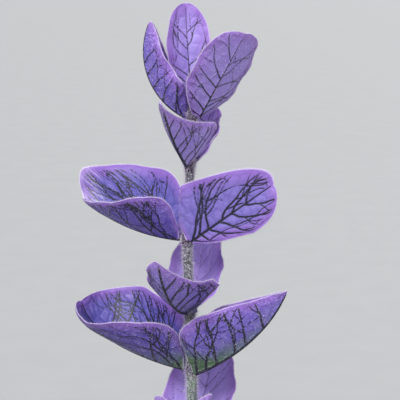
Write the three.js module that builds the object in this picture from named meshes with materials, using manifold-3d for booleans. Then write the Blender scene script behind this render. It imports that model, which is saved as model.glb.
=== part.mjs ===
// Painted sage in a terracotta pot: a square stem with pairs of leaves, floral bracts and violet bracts.
// Millimetres, +Z up, the pot stands on z = 0 with its axis on x = y = 0. The front is -Y.
import * as THREE from "three";
import { mergeVertices } from "three/addons/utils/BufferGeometryUtils.js";
import Module from "manifold-3d";

const wasm = await Module();
wasm.setup();

// Pot and soil
const RIM_RADIUS = 65;
const RIM_HEIGHT = 22;
const RIM_STEP = 4.5;
const FOOT_RADIUS = 43;
const POT_HEIGHT = 112;
const WALL = 5.5;
const FLOOR = 7;
const DRAIN_RADIUS = 9;
const SOIL_TOP = 98;
const SOIL_BUMP = 1.4;
const POT_SEGMENTS = 36;

// Gap left between neighbouring pieces
const GAP = 0.3;

// Main stem
const STEM_FOOT = 72;
const STEM_TOP = 368.2;

// Blades: their thickness, how many times it a half has to be wide to fold up by 45 degrees,
// and how fast a half may widen along the blade from its base
const BLADE_THICKNESS = 0.7;
const FOLD_ROOM = 3;
const SPREAD = 4;

// Height of each pair on the stem, from the top pair down to the lowest leaves
const PAIR_HEIGHT = [367, 361.5, 348, 326.6, 305.8, 288, 268.5, 250, 232, 215, 193, 168, 140, 116];

// Stem axis and half width against height
const STEM_AXIS = [
  { z: 0, x: 0, y: 0 },
  { z: 98, x: 0, y: 0 },
  { z: 140, x: -0.8, y: 0.5 },
  { z: 193, x: 0.4, y: -0.4 },
  { z: 258, x: 0.6, y: 0 },
  { z: 288, x: 0.5, y: 0 },
  { z: 305.8, x: -0.1, y: 0 },
  { z: 326.6, x: -0.8, y: 0 },
  { z: 348, x: 0, y: 0 },
  { z: 364, x: 0.8, y: 0 },
];
const HALF_WIDTH_FOOT = 1.9;
const HALF_WIDTH_TOP = 1;
const NODE_SWELL = 0.35;

// The pairs and the square of the stem are turned a little, so the right blades stand before the stem
const TURN = -22;
const DIRECTIONS = { right: TURN, back: 90 + TURN, left: 180 + TURN, front: 270 + TURN };

const COLOURS = {
  terracotta: { color: "#b4694a", roughness: 0.85 },
  soil: { color: "#33261d", roughness: 0.95 },
  stem: { color: "#75845a", roughness: 0.7 },
  violet: { color: "#6c58bd", roughness: 0.55 },
  floral: { color: "#7f7f78", roughness: 0.6 },
  leaf: { color: "#5d7a45", roughness: 0.65 },
};

const rad = THREE.MathUtils.degToRad;
const lerp = THREE.MathUtils.lerp;
const clamp = THREE.MathUtils.clamp;

function stemAxis(z) {
  const above = STEM_AXIS.findIndex((p) => p.z > z);
  if (above < 0) {
    const last = STEM_AXIS[STEM_AXIS.length - 1];
    return { x: last.x, y: last.y };
  }
  const low = STEM_AXIS[Math.max(above - 1, 0)];
  const high = STEM_AXIS[above];
  const t = clamp((z - low.z) / (high.z - low.z), 0, 1);
  const s = t * t * (3 - 2 * t);
  return { x: lerp(low.x, high.x, s), y: lerp(low.y, high.y, s) };
}

function stemHalfWidth(z) {
  const t = clamp((z - STEM_FOOT) / (STEM_TOP - STEM_FOOT), 0, 1);
  let half = lerp(HALF_WIDTH_FOOT, HALF_WIDTH_TOP, t ** 1.3);
  for (const node of PAIR_HEIGHT.slice(1)) {
    half += NODE_SWELL * Math.exp(-(((z - node) / 1.8) ** 2));
  }
  return half;
}

// Width of a blade along its length: rises from the base to the peak, then rounds off to the tip
function outline(u, form) {
  const { peak, base, tip, blunt } = form;
  if (u < peak) {
    return Math.sqrt(1 - ((peak - u) / peak) ** base);
  }
  return (1 - ((u - peak) / (1 - peak)) ** tip) ** blunt;
}

const BLADE = {
  length: 20,
  width: 8,
  rise: [40, 50],
  hook: 0,
  plus: { fold: 20, curl: 20 },
  minus: { fold: 20, curl: 20 },
  open: 0,
  roll: 0,
  twist: 0,
  wave: 0.4,
  waves: 3,
  phase: 0,
  peak: 0.3,
  base: 2.6,
  tip: 2.1,
  blunt: 0.6,
  neck: 1.3,
  tipWidth: 0.09,
  stalk: 0,
  teeth: 0,
  toothDepth: 0.1,
  ease: 0,
  out: 2.4,
  aside: 0,
  lift: 0,
  clear: 0,
  root: BLADE_THICKNESS / 2,
  clasp: {},
};

// Half width of one side of the blade at u, with its teeth and its stalk
function halfWidth(shape, side, u) {
  const v = shape.stalk > 0 ? clamp((u - shape.stalk) / (1 - shape.stalk), 0, 1) : u;
  const form = { ...shape, ...side };
  const least = v > 0.5 ? form.tipWidth : 0;
  const full = shape.width * (side.wide ?? 1) * Math.max(outline(v, form), least);
  const w = shape.stalk > 0 ? full : Math.min(full, SPREAD * u * shape.length);
  const neck = shape.stalk > 0 ? shape.neck : shape.neck * Math.exp(-((u / 0.1) ** 2));
  return Math.hypot(w, neck);
}

// Middle surface of a blade in its own frame: x leads away from the stem, y to the side, z up
function bladeGrid(shape, rows, cols) {
  const middle = new THREE.Vector3();
  const grid = [];
  const fine = 12;
  const station = (s) => s - (shape.ease * Math.sin(2 * Math.PI * s)) / (2 * Math.PI);
  for (let i = 0; i <= rows; i++) {
    const u = station(i / rows);
    const angle = rad(lerp(shape.rise[0], shape.rise[1], u) + shape.hook * u ** 4);
    const along = new THREE.Vector3(Math.cos(angle), 0, Math.sin(angle));
    const up = new THREE.Vector3(-Math.sin(angle), 0, Math.cos(angle));
    const turn = rad(shape.roll + shape.twist * u);
    const across = new THREE.Vector3(0, Math.cos(turn), 0).addScaledVector(up, Math.sin(turn));
    const normal = new THREE.Vector3(0, -Math.sin(turn), 0).addScaledVector(up, Math.cos(turn));
    const row = [];
    for (let j = 0; j <= cols; j++) {
      const v = (2 * j) / cols - 1;
      row.push(bladePoint(shape, u, v, middle, { along, across, normal }));
    }
    grid.push(row);
    if (i < rows) {
      const reach = station((i + 1) / rows) - u;
      for (let k = 0; k < fine; k++) {
        const s = u + (reach * (k + 0.5)) / fine;
        const a = rad(lerp(shape.rise[0], shape.rise[1], s) + shape.hook * s ** 4);
        const step = (shape.length * reach) / fine;
        middle.x += Math.cos(a) * step;
        middle.z += Math.sin(a) * step;
      }
    }
  }
  return grid;
}

function bladePoint(shape, u, v, middle, { along, across, normal }) {
  const sign = v >= 0 ? 1 : -1;
  const side = sign > 0 ? shape.plus : shape.minus;
  const reach = Math.abs(v);
  const tooth = -Math.cos(2 * Math.PI * shape.teeth * u) * shape.toothDepth * reach ** 4;
  const w = halfWidth(shape, side, u) * (shape.teeth > 0 ? 1 + tooth : 1);
  const wanted = rad(side.fold - (side.open ?? shape.open) * (u - 0.5));
  const sharpest = Math.atan(w / (FOLD_ROOM * BLADE_THICKNESS));
  const fold = clamp(wanted, -sharpest, sharpest);
  const curl = rad(side.curl) * (wanted === 0 ? 1 : fold / wanted);
  const steps = 8;
  let flat = 0;
  let high = 0;
  for (let k = 0; k < steps; k++) {
    const angle = fold + curl * reach * ((k + 0.5) / steps);
    flat += (Math.cos(angle) * reach * w) / steps;
    high += (Math.sin(angle) * reach * w) / steps;
  }
  const phase = rad(shape.phase) + (sign > 0 ? 0 : 2);
  const ripple = Math.sin(2 * Math.PI * shape.waves * u + phase) * Math.min(1, (1.2 * w) / shape.width);
  const push = shape.wave * reach ** 3 * ripple;
  const end = fold + curl * reach;
  flat -= Math.sin(end) * push;
  high += Math.cos(end) * push;
  const lead = (side.lead ?? 0) * reach ** 2 * u ** 4;
  return middle.clone()
    .addScaledVector(along, lead)
    .addScaledVector(across, sign * flat)
    .addScaledVector(normal, high);
}

// Turns and moves a blade to its node and keeps it clear of the stem it clasps and of its partner
function seatOnStem(grid, azimuth, pairHeight, shape) {
  const height = pairHeight + shape.lift;
  const root = stemAxis(height);
  const turn = rad(azimuth);
  const face = rad(Math.round((azimuth - TURN) / 90) * 90 + TURN);
  const ahead = new THREE.Vector2(Math.cos(face), Math.sin(face));
  const aside = new THREE.Vector2(-Math.sin(face), Math.cos(face));
  const apart = GAP + shape.root;
  for (const point of grid.flat()) {
    const z = height + point.z;
    const axis = stemAxis(z);
    const outward = point.x + shape.out;
    const lateral = point.y + shape.aside;
    const x = root.x + Math.cos(turn) * outward - Math.sin(turn) * lateral - axis.x;
    const y = root.y + Math.sin(turn) * outward + Math.cos(turn) * lateral - axis.y;
    let away = x * ahead.x + y * ahead.y;
    let sideways = x * aside.x + y * aside.y;
    const keep = stemHalfWidth(z) * 1.25 + apart + shape.clear;
    const push = Math.max(1, keep / Math.max(Math.hypot(away, sideways), 0.2));
    sideways *= push;
    const limit = sideways > 0 ? shape.clasp.plus : shape.clasp.minus;
    away = Math.max(away * push, limit ?? apart);
    point.x = axis.x + ahead.x * away + aside.x * sideways;
    point.y = axis.y + ahead.y * away + aside.y * sideways;
    point.z = z;
  }
  return grid;
}

function gridNormals(grid) {
  const rows = grid.length - 1;
  const cols = grid[0].length - 1;
  return grid.map((row, i) =>
    row.map((point, j) => {
      const down = grid[Math.min(i + 1, rows)][j].clone().sub(grid[Math.max(i - 1, 0)][j]);
      const over = row[Math.min(j + 1, cols)].clone().sub(row[Math.max(j - 1, 0)]);
      return down.cross(over).normalize();
    })
  );
}

// Closed solid from a grid of points: both faces split alike, with an edge strip all round
function thicken(grid, thicknessAt) {
  const rows = grid.length - 1;
  const cols = grid[0].length - 1;
  const normals = gridNormals(grid);
  const positions = [];
  const index = [];
  for (const sign of [1, -1]) {
    grid.forEach((row, i) => {
      row.forEach((point, j) => {
        const p = point.clone().addScaledVector(normals[i][j], (sign * thicknessAt(i / rows)) / 2);
        positions.push(p.x, p.y, p.z);
      });
    });
  }
  const layer = (rows + 1) * (cols + 1);
  const at = (i, j) => i * (cols + 1) + j;
  for (let i = 0; i < rows; i++) {
    for (let j = 0; j < cols; j++) {
      const corners = [at(i, j), at(i + 1, j), at(i + 1, j + 1), at(i, j + 1)];
      const first = grid[i][j].distanceTo(grid[i + 1][j + 1]);
      const second = grid[i + 1][j].distanceTo(grid[i][j + 1]);
      const split = first < second ? [0, 1, 2, 0, 2, 3] : [0, 1, 3, 1, 2, 3];
      for (let k = 0; k < 6; k += 3) {
        const [a, b, c] = [corners[split[k]], corners[split[k + 1]], corners[split[k + 2]]];
        index.push(a, b, c);
        index.push(layer + a, layer + c, layer + b);
      }
    }
  }
  const rim = [];
  for (let j = 0; j < cols; j++) rim.push(at(0, j));
  for (let i = 0; i < rows; i++) rim.push(at(i, cols));
  for (let j = cols; j > 0; j--) rim.push(at(rows, j));
  for (let i = rows; i > 0; i--) rim.push(at(i, 0));
  rim.forEach((a, k) => {
    const b = rim[(k + 1) % rim.length];
    index.push(a, b, layer + b);
    index.push(a, layer + b, layer + a);
  });
  return solidFrom(positions, index);
}

function solidFrom(positions, index) {
  const geometry = new THREE.BufferGeometry();
  geometry.setAttribute("position", new THREE.Float32BufferAttribute(positions, 3));
  geometry.setIndex(index);
  return geometry;
}

// Tube through rings of points, closed at both ends with a point
function tube(rings, startCap, endCap) {
  const count = rings[0].length;
  const positions = [startCap.x, startCap.y, startCap.z];
  rings.flat().forEach((p) => positions.push(p.x, p.y, p.z));
  positions.push(endCap.x, endCap.y, endCap.z);
  const last = rings.length * count + 1;
  const at = (i, k) => 1 + i * count + (k % count);
  const index = [];
  for (let k = 0; k < count; k++) {
    index.push(0, at(0, k + 1), at(0, k));
    index.push(last, at(rings.length - 1, k), at(rings.length - 1, k + 1));
    for (let i = 0; i < rings.length - 1; i++) {
      index.push(at(i, k), at(i, k + 1), at(i + 1, k + 1));
      index.push(at(i, k), at(i + 1, k + 1), at(i + 1, k));
    }
  }
  return solidFrom(positions, index);
}

// Ring of a sweep: the centre, two directions across and a radius for each of its corners
function ringAround(centre, across, over, radii) {
  return radii.map((r, k) => {
    const angle = (2 * Math.PI * k) / radii.length;
    return centre.clone()
      .addScaledVector(across, Math.cos(angle) * r)
      .addScaledVector(over, Math.sin(angle) * r);
  });
}

function toManifold(geometry) {
  const plain = new THREE.BufferGeometry();
  plain.setAttribute("position", geometry.getAttribute("position"));
  plain.setIndex(geometry.getIndex());
  const merged = mergeVertices(plain, 1e-4);
  const mesh = new wasm.Mesh({
    numProp: 3,
    vertProperties: Float32Array.from(merged.getAttribute("position").array),
    triVerts: Uint32Array.from(merged.getIndex().array),
  });
  return new wasm.Manifold(mesh);
}

function fromManifold(solid) {
  const mesh = solid.getMesh();
  return solidFrom(Array.from(mesh.vertProperties), Array.from(mesh.triVerts));
}

function fuse(parts) {
  return fromManifold(parts.map(toManifold).reduce((all, next) => all.add(next)));
}

const group = new THREE.Group();
group.name = "potted_painted_sage";

function addPiece(name, geometry, colour) {
  const look = COLOURS[colour];
  const material = new THREE.MeshStandardMaterial({ ...look, metalness: 0 });
  material.name = colour;
  geometry.computeVertexNormals();
  const mesh = new THREE.Mesh(geometry, material);
  mesh.name = name;
  group.add(mesh);
}

// Pot: a turned shell with a stepped rim, rounded lips and a drain hole
function wallRadius(z) {
  return lerp(FOOT_RADIUS, RIM_RADIUS - RIM_STEP, z / (POT_HEIGHT - RIM_HEIGHT));
}

function innerRadius(z) {
  return lerp(FOOT_RADIUS - WALL, RIM_RADIUS - WALL - 2.5, (z - FLOOR) / (POT_HEIGHT - FLOOR));
}

function potGeometry() {
  const stepZ = POT_HEIGHT - RIM_HEIGHT;
  const innerTop = innerRadius(POT_HEIGHT);
  const profile = [
    [DRAIN_RADIUS, 0],
    [FOOT_RADIUS - 1.2, 0],
    [FOOT_RADIUS, 1.2],
    [wallRadius(stepZ), stepZ],
    [RIM_RADIUS - 1.4, stepZ],
    [RIM_RADIUS - 0.4, stepZ + 1.2],
    [RIM_RADIUS, POT_HEIGHT - 2.6],
    [RIM_RADIUS - 1.2, POT_HEIGHT - 0.6],
    [RIM_RADIUS - 3.2, POT_HEIGHT],
    [innerTop + 2, POT_HEIGHT],
    [innerTop + 0.4, POT_HEIGHT - 1.4],
    [innerRadius(SOIL_TOP - 6), SOIL_TOP - 6],
    [innerRadius(FLOOR + 3), FLOOR + 3],
    [innerRadius(FLOOR) - 2.5, FLOOR],
    [DRAIN_RADIUS, FLOOR],
    [DRAIN_RADIUS, 0],
  ];
  const turned = new THREE.LatheGeometry(profile.map(([r, z]) => new THREE.Vector2(r, z)), POT_SEGMENTS);
  turned.rotateX(Math.PI / 2);
  return turned;
}

// Soil: a bumpy top, sides just clear of the pot and a plain hole for the stem
function soilGeometry() {
  const holeRadius = HALF_WIDTH_FOOT * 1.25 + GAP + 0.15;
  const outer = (z) => innerRadius(z) * Math.cos(Math.PI / POT_SEGMENTS) - GAP;
  const rings = [
    { r: holeRadius, z: STEM_FOOT - GAP, bump: 0 },
    { r: holeRadius, z: SOIL_TOP, bump: 0 },
    { r: 9, z: SOIL_TOP + 0.6, bump: 0.6 },
    { r: 20, z: SOIL_TOP, bump: 1 },
    { r: 31, z: SOIL_TOP - 0.4, bump: 1 },
    { r: 42, z: SOIL_TOP - 1, bump: 1 },
    { r: outer(SOIL_TOP - 3) - 1.5, z: SOIL_TOP - 1.2, bump: 0.5 },
    { r: outer(SOIL_TOP - 6), z: SOIL_TOP - 6, bump: 0 },
    { r: outer(FLOOR + 3 + GAP), z: FLOOR + 3 + GAP, bump: 0 },
    { r: innerRadius(FLOOR) - 3.4, z: FLOOR + GAP, bump: 0 },
  ];
  const count = POT_SEGMENTS;
  const loops = rings.map((ring, i) => {
    const loop = [];
    for (let k = 0; k < count; k++) {
      const angle = (2 * Math.PI * k) / count;
      const lump = Math.sin(3.1 * k + 1.7 * i) * 0.6 + Math.sin(1.3 * k * (i + 1)) * 0.4;
      const z = ring.z + SOIL_BUMP * ring.bump * lump;
      loop.push(new THREE.Vector3(Math.cos(angle) * ring.r, Math.sin(angle) * ring.r, z));
    }
    return loop;
  });
  const holeFloor = new THREE.Vector3(0, 0, STEM_FOOT - GAP);
  const under = new THREE.Vector3(0, 0, FLOOR + GAP);
  const geometry = tube(loops, holeFloor, under);
  const index = Array.from(geometry.getIndex().array);
  for (let k = 0; k < index.length; k += 3) {
    [index[k + 1], index[k + 2]] = [index[k + 2], index[k + 1]];
  }
  geometry.setIndex(index);
  return geometry;
}

// Main stem: a square section with blunt corners and hollow faces, swollen at every pair
function squareSection(half) {
  return [0, 1, 2, 3].flatMap(() => [half * 0.97, half * 1.25]);
}

function stemGeometry() {
  const nodes = PAIR_HEIGHT.slice(1).flatMap((z) => [z - 2.4, z, z + 2.4]);
  const between = [STEM_FOOT, 84, 96, 106, 128, 152, 180, 204, 223.5, 241, 259, 278, 296, 316, 337, 355];
  const heights = [...between, ...nodes, STEM_TOP].sort((a, b) => a - b);
  const turn = rad(TURN);
  const across = new THREE.Vector3(Math.cos(turn), Math.sin(turn), 0);
  const over = new THREE.Vector3(-Math.sin(turn), Math.cos(turn), 0);
  const rings = heights.map((z) => {
    const axis = stemAxis(z);
    const centre = new THREE.Vector3(axis.x, axis.y, z);
    return ringAround(centre, across, over, squareSection(stemHalfWidth(z)));
  });
  const foot = stemAxis(STEM_FOOT);
  const top = stemAxis(STEM_TOP);
  const start = new THREE.Vector3(foot.x, foot.y, STEM_FOOT);
  const end = new THREE.Vector3(top.x, top.y, STEM_TOP + 0.8);
  return tube(rings, start, end);
}

// Flower: a flaring calyx, a corolla tube, a hooded upper lip and a spreading lower lip
const FLOWER = {
  lean: 52,
  start: 0.6,
  calyx: [[0, 0.7], [2.5, 1.3], [6, 1.8], [8, 2.2]],
  corolla: [[7, 1.2], [9.5, 1.35], [11.5, 1.7]],
  upper: {
    length: 6.5, width: 1.9, rise: [20, -40],
    plus: { fold: -35, curl: -40 }, minus: { fold: -35, curl: -40 },
  },
  lower: {
    length: 5, width: 2.6, rise: [-15, -60],
    plus: { fold: 15, curl: 20 }, minus: { fold: 15, curl: 20 },
  },
};

function straightTube(profile, sides) {
  const across = new THREE.Vector3(0, 1, 0);
  const over = new THREE.Vector3(0, 0, 1);
  const rings = profile.map(([x, r]) =>
    ringAround(new THREE.Vector3(x, 0, 0), across, over, Array(sides).fill(r))
  );
  const start = new THREE.Vector3(profile[0][0] - 0.1, 0, 0);
  const end = new THREE.Vector3(profile[profile.length - 1][0] + 0.1, 0, 0);
  return tube(rings, start, end);
}

function lip(shape, x, z) {
  const grid = bladeGrid({ ...BLADE, ...shape, wave: 0, neck: 1.1, peak: 0.45, tipWidth: 0.3 }, 2, 2);
  return thicken(grid, () => 0.8).translate(x, 0, z);
}

function flower(azimuth, height, open) {
  const parts = [straightTube(FLOWER.calyx, 5)];
  if (open) {
    parts.push(straightTube(FLOWER.corolla, 5));
    parts.push(lip(FLOWER.upper, 10.2, 0.9));
    parts.push(lip(FLOWER.lower, 10.2, -0.8));
  }
  const axis = stemAxis(height);
  return parts.map((part) =>
    part
      .translate(FLOWER.start, 0, 0)
      .rotateY(-rad(FLOWER.lean))
      .rotateZ(rad(azimuth))
      .translate(axis.x, axis.y, height)
  );
}

// The whorls of flowers above the three pairs of floral bracts, buds in the uppermost
const WHORLS = [
  { pair: 7, sides: ["left", "right"], open: false, length: 19, width: 8.2 },
  { pair: 8, sides: ["front", "back"], open: true, length: 17, width: 7.4 },
  { pair: 9, sides: ["left", "right"], open: true, length: 13.4, width: 6 },
];
const FLOWER_SPREAD = 30;

function whorlGeometries() {
  return WHORLS.flatMap(({ pair, sides, open }) =>
    sides.flatMap((side) =>
      [-FLOWER_SPREAD, FLOWER_SPREAD].flatMap((turn) =>
        flower(DIRECTIONS[side] + turn, PAIR_HEIGHT[pair] + 2.2, open)
      )
    )
  );
}

// Violet bracts. plus is the back half of a right bract and the front half of a left one.
// clasp is how far each half keeps from the middle of the stem, below zero where it passes in front.
// lead draws the end of a half forward, beyond the tip of the midrib
const BRACT = { ease: 0.5, base: 3.4, peak: 0.32 };
const BRACTS = {
  top_back: {
    pair: 0, azimuth: 102, length: 26.4, width: 6.8, rise: [64, 81], wave: 0.2, phase: 40, out: 1.9,
    plus: { fold: 5, curl: 30 }, minus: { fold: 5, curl: 30 }, peak: 0.45, base: 2.2, tip: 2.4, blunt: 0.5,
    clasp: { plus: -1 },
  },
  top_front: {
    pair: 0, azimuth: 262, length: 5, width: 1.3, rise: [88, 94], wave: 0.1, out: 2, lift: 1.2, neck: 0.9,
    plus: { fold: 20, curl: 40 }, minus: { fold: 20, curl: 40 }, peak: 0.45, base: 3, tip: 2.4,
  },
  "1_left": {
    pair: 1, azimuth: 168, length: 31, width: 9.5, rise: [18, 112], roll: 12, wave: 0.6, waves: 2.2,
    out: 2, phase: 60, plus: { fold: 36, curl: 35 }, minus: { fold: 38, curl: 35 }, peak: 0.25, tip: 1.8,
    clasp: { plus: 1 },
  },
  "1_right": {
    pair: 1, azimuth: -30, length: 27.6, width: 10.5, rise: [59, 59], roll: -30, wave: 0.3, out: 2,
    plus: { fold: 5, curl: 35, wide: 1.08, base: 2 }, minus: { fold: 5, curl: 12, wide: 0.84, base: 2 },
    peak: 0.45, tip: 3.6, blunt: 0.5, clasp: { plus: 1.2, minus: 0.6 },
  },
  "2_front": {
    pair: 2, azimuth: 248, length: 26, width: 14, rise: [36, 62], wave: 0.3,
    plus: { fold: 40, curl: 25, tip: 1, blunt: 1.3 }, minus: { fold: 42, curl: 30, wide: 0.8 },
  },
  "2_back": {
    pair: 2, azimuth: 62, length: 19, width: 8, rise: [44, 62], base: 1.6, peak: 0.5,
    plus: { fold: 15, curl: 40 }, minus: { fold: 15, curl: 40 },
  },
  "3_left": {
    pair: 3, azimuth: 160, length: 32, width: 15.5, rise: [0, 34], hook: 6, roll: -18, wave: 0.35,
    plus: { fold: 38, curl: 52, wide: 0.98, base: 2, peak: 0.42, tip: 2.4, blunt: 0.7 },
    minus: {
      fold: 56, curl: 18, open: 30, wide: 1.14, base: 5, peak: 0.22, tip: 3.4, tipWidth: 0.28, lead: 2.4,
    },
    blunt: 0.5, open: 44, peak: 0.34, clasp: { plus: 2 },
  },
  "3_right": {
    pair: 3, azimuth: -25, length: 30.8, width: 12.4, rise: [37, 37], roll: 72, aside: -1, wave: 0.3,
    plus: { fold: 22, curl: 10, wide: 0.84, base: 3.4, peak: 0.3, tip: 3, blunt: 0.42, lead: 1.6 },
    minus: { fold: 14, curl: 15, wide: 0.84, peak: 0.66, base: 1, tip: 4.4, blunt: 0.38 },
    clear: 0.2, clasp: { minus: -1.6 },
  },
  "4_front": {
    pair: 4, azimuth: 250, length: 29.5, width: 16, rise: [13, 72], wave: 0.5,
    plus: { fold: 38, curl: 42, wide: 0.94, tip: 1, blunt: 1.4 }, minus: { fold: 25, curl: 25, wide: 0.66 },
  },
  "4_back": {
    pair: 4, azimuth: 75, length: 26.4, width: 9.5, rise: [45, 60], base: 2,
    plus: { fold: 10, curl: 40 }, minus: { fold: 10, curl: 40 },
  },
  "5_left": {
    pair: 5, azimuth: 160, length: 37.4, width: 16, rise: [7, 30], hook: 50, roll: -14,
    wave: 0.5, waves: 2.5,
    plus: { fold: 44, curl: 44, wide: 0.94, base: 2.4, peak: 0.4, tip: 2.6, blunt: 0.6 },
    minus: { fold: 52, curl: 14, open: 34, wide: 1.08, base: 6, peak: 0.18, tip: 3.4, blunt: 0.5 },
    open: 44, peak: 0.34, clasp: { plus: 2 },
  },
  "5_right": {
    pair: 5, azimuth: -24, length: 40, width: 15, rise: [27, 60], hook: 10, roll: -4, wave: 0.5, base: 3.8,
    plus: { fold: 60, curl: 15 }, minus: { fold: 60, curl: 15 }, peak: 0.3, tip: 1.6, blunt: 0.85,
    clear: 0.2, clasp: { minus: -1.2 },
  },
  "6_front": {
    pair: 6, azimuth: 250, length: 26.5, width: 14, rise: [20, 68],
    plus: { fold: 46, curl: 35, tip: 1, blunt: 1.2 }, minus: { fold: 25, curl: 30, wide: 0.8 },
  },
  "6_back": {
    pair: 6, azimuth: 70, length: 28.4, width: 12, rise: [45, 55],
    plus: { fold: 10, curl: 30 }, minus: { fold: 10, curl: 30 },
  },
};

// Green and purple bracts under the flowers
const FLORAL_BRACT = {
  rise: [28, 12], wave: 0.5, peak: 0.35, tip: 1.8, out: 2.6,
  plus: { fold: 16, curl: 25 }, minus: { fold: 16, curl: 25 },
};

// Stalked leaves with toothed edges, one size for each pair
const LEAF = {
  rise: [44, -4], wave: 0.8, waves: 2.5, stalk: 0.24, neck: 0.95, root: 0.5, out: 2.6,
  teeth: 8, toothDepth: 0.1,
  peak: 0.4, base: 2.2, tip: 1.7, blunt: 0.7, plus: { fold: 14, curl: 14 }, minus: { fold: 14, curl: 14 },
};
const LEAF_PAIRS = [
  { pair: 10, sides: ["front", "back"], length: 32, width: 8.5, rise: [58, 30], stalk: 0.16 },
  { pair: 11, sides: ["left", "right"], length: 52, width: 12, rise: [46, -4] },
  { pair: 12, sides: ["front", "back"], length: 64, width: 14, rise: [40, -6] },
  { pair: 13, sides: ["left", "right"], length: 64, width: 14, rise: [40, 2] },
];

function bladePiece(shape, azimuth, height, rows, cols, thicknessAt) {
  const full = { ...BLADE, ...shape };
  return thicken(seatOnStem(bladeGrid(full, rows, cols), azimuth, height, full), thicknessAt);
}

const bladeThickness = () => BLADE_THICKNESS;

// A leaf is thick along its stalk and thins out into the blade
function leafThickness(stalk) {
  return (u) => BLADE_THICKNESS + 0.7 * clamp(1.3 - u / stalk, 0, 1);
}

function addBracts() {
  for (const [name, shape] of Object.entries(BRACTS)) {
    const rows = shape.length > 15 ? 9 : 5;
    const cols = shape.length > 15 ? 6 : 4;
    const height = PAIR_HEIGHT[shape.pair];
    const geometry = bladePiece({ ...BRACT, ...shape }, shape.azimuth, height, rows, cols, bladeThickness);
    addPiece(`bract_${name}`, geometry, "violet");
  }
}

function addFloralBracts() {
  for (const { pair, sides, length, width } of WHORLS) {
    for (const where of sides) {
      const shape = { ...FLORAL_BRACT, length, width };
      const geometry = bladePiece(shape, DIRECTIONS[where], PAIR_HEIGHT[pair], 7, 4, bladeThickness);
      addPiece(`floral_bract_${pair}_${where}`, geometry, "floral");
    }
  }
}

function addLeaves() {
  for (const { pair, sides, ...size } of LEAF_PAIRS) {
    for (const where of sides) {
      const shape = { ...LEAF, ...size, phase: 60 * pair + DIRECTIONS[where] };
      const rows = shape.teeth * 2;
      const thicknessAt = leafThickness(shape.stalk);
      const geometry = bladePiece(shape, DIRECTIONS[where], PAIR_HEIGHT[pair], rows, 4, thicknessAt);
      addPiece(`leaf_${pair}_${where}`, geometry, "leaf");
    }
  }
}

// Side shoots, each from the angle above a leaf: a leafy stem and a head of violet bracts
const SHOOTS = {
  left: { pair: 11, azimuth: 162, length: 66, lean: [34, 84] },
  right: { pair: 11, azimuth: 331, length: 60, lean: [33, 85] },
  front: { pair: 12, azimuth: 254, length: 78, lean: [46, 82] },
  back: { pair: 12, azimuth: 75, length: 72, lean: [46, 84] },
};
const SHOOT_START = { x: 2.95, z: 5.8 };
const SHOOT_RADIUS = [1.1, 0.85];
const SHOOT_LEAVES = [
  { at: 0.4, turn: 78, length: 20, width: 5.4, rise: [48, 8] },
  { at: 0.74, turn: 160, length: 14, width: 4.6, rise: [50, 16] },
];
const SHOOT_LEAF = {
  teeth: 3, toothDepth: 0.12, out: 0.2, neck: 0.8, wave: 0.4, peak: 0.42, base: 2, tip: 1.7,
  plus: { fold: 14, curl: 14 }, minus: { fold: 14, curl: 14 },
};
const HEAD_CORE = [[0, 0.85], [3, 1.5], [8, 1.2], [11, 0.5]];
const HEAD_PAIRS = [
  { at: 1.6, turn: 0, length: 19, width: 8.6, rise: [26, 52] },
  { at: 5.5, turn: 90, length: 17, width: 7.6, rise: [40, 66] },
  { at: 9, turn: 0, length: 14, width: 5.2, rise: [62, 84] },
];
const HEAD_BRACT = {
  out: 0.4, neck: 1, wave: 0.3, peak: 0.36, tip: 2,
  plus: { fold: 24, curl: 34 }, minus: { fold: 24, curl: 34 },
};

// Point and frame on the shoot at a share of its length, in a frame whose x leads away from the main stem
function shootFrame(shoot, share) {
  const steps = 40;
  const point = new THREE.Vector3(SHOOT_START.x, 0, SHOOT_START.z);
  const leanAt = (s) => rad(lerp(shoot.lean[0], shoot.lean[1], Math.sqrt(s)));
  for (let k = 0; k < steps; k++) {
    const angle = leanAt(((k + 0.5) / steps) * share);
    point.x += (Math.cos(angle) * shoot.length * share) / steps;
    point.z += (Math.sin(angle) * shoot.length * share) / steps;
  }
  const angle = leanAt(share);
  const tangent = new THREE.Vector3(Math.cos(angle), 0, Math.sin(angle));
  const out = new THREE.Vector3(Math.sin(angle), 0, -Math.cos(angle));
  const side = new THREE.Vector3(0, 1, 0);
  return { point, tangent, out, side };
}

function frameMatrix({ point, tangent, out, side }) {
  return new THREE.Matrix4().makeBasis(out, side, tangent).setPosition(point);
}

function placeShoot(geometry, shoot) {
  const height = PAIR_HEIGHT[shoot.pair];
  const axis = stemAxis(height);
  return geometry.rotateZ(rad(shoot.azimuth)).translate(axis.x, axis.y, height);
}

function pairOfBlades(shape, turn, rows, cols, matrix) {
  return [turn, turn + 180].map((angle) => {
    const full = { ...BLADE, ...shape };
    const geometry = thicken(bladeGrid(full, rows, cols), bladeThickness);
    return geometry.translate(full.out, 0, 0).rotateZ(rad(angle)).applyMatrix4(matrix);
  });
}

function shootStem(shoot) {
  const rings = [];
  const count = 8;
  for (let i = 0; i <= count; i++) {
    const share = i / count;
    const { point, out, side } = shootFrame(shoot, share);
    rings.push(ringAround(point, out, side, Array(6).fill(lerp(...SHOOT_RADIUS, share))));
  }
  const start = shootFrame(shoot, 0).point;
  const end = shootFrame(shoot, 1).point;
  const parts = [tube(rings, start, end)];
  for (const { at, turn, ...size } of SHOOT_LEAVES) {
    const matrix = frameMatrix(shootFrame(shoot, at));
    parts.push(...pairOfBlades({ ...SHOOT_LEAF, ...size }, turn, 6, 2, matrix));
  }
  return placeShoot(fuse(parts), shoot);
}

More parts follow.
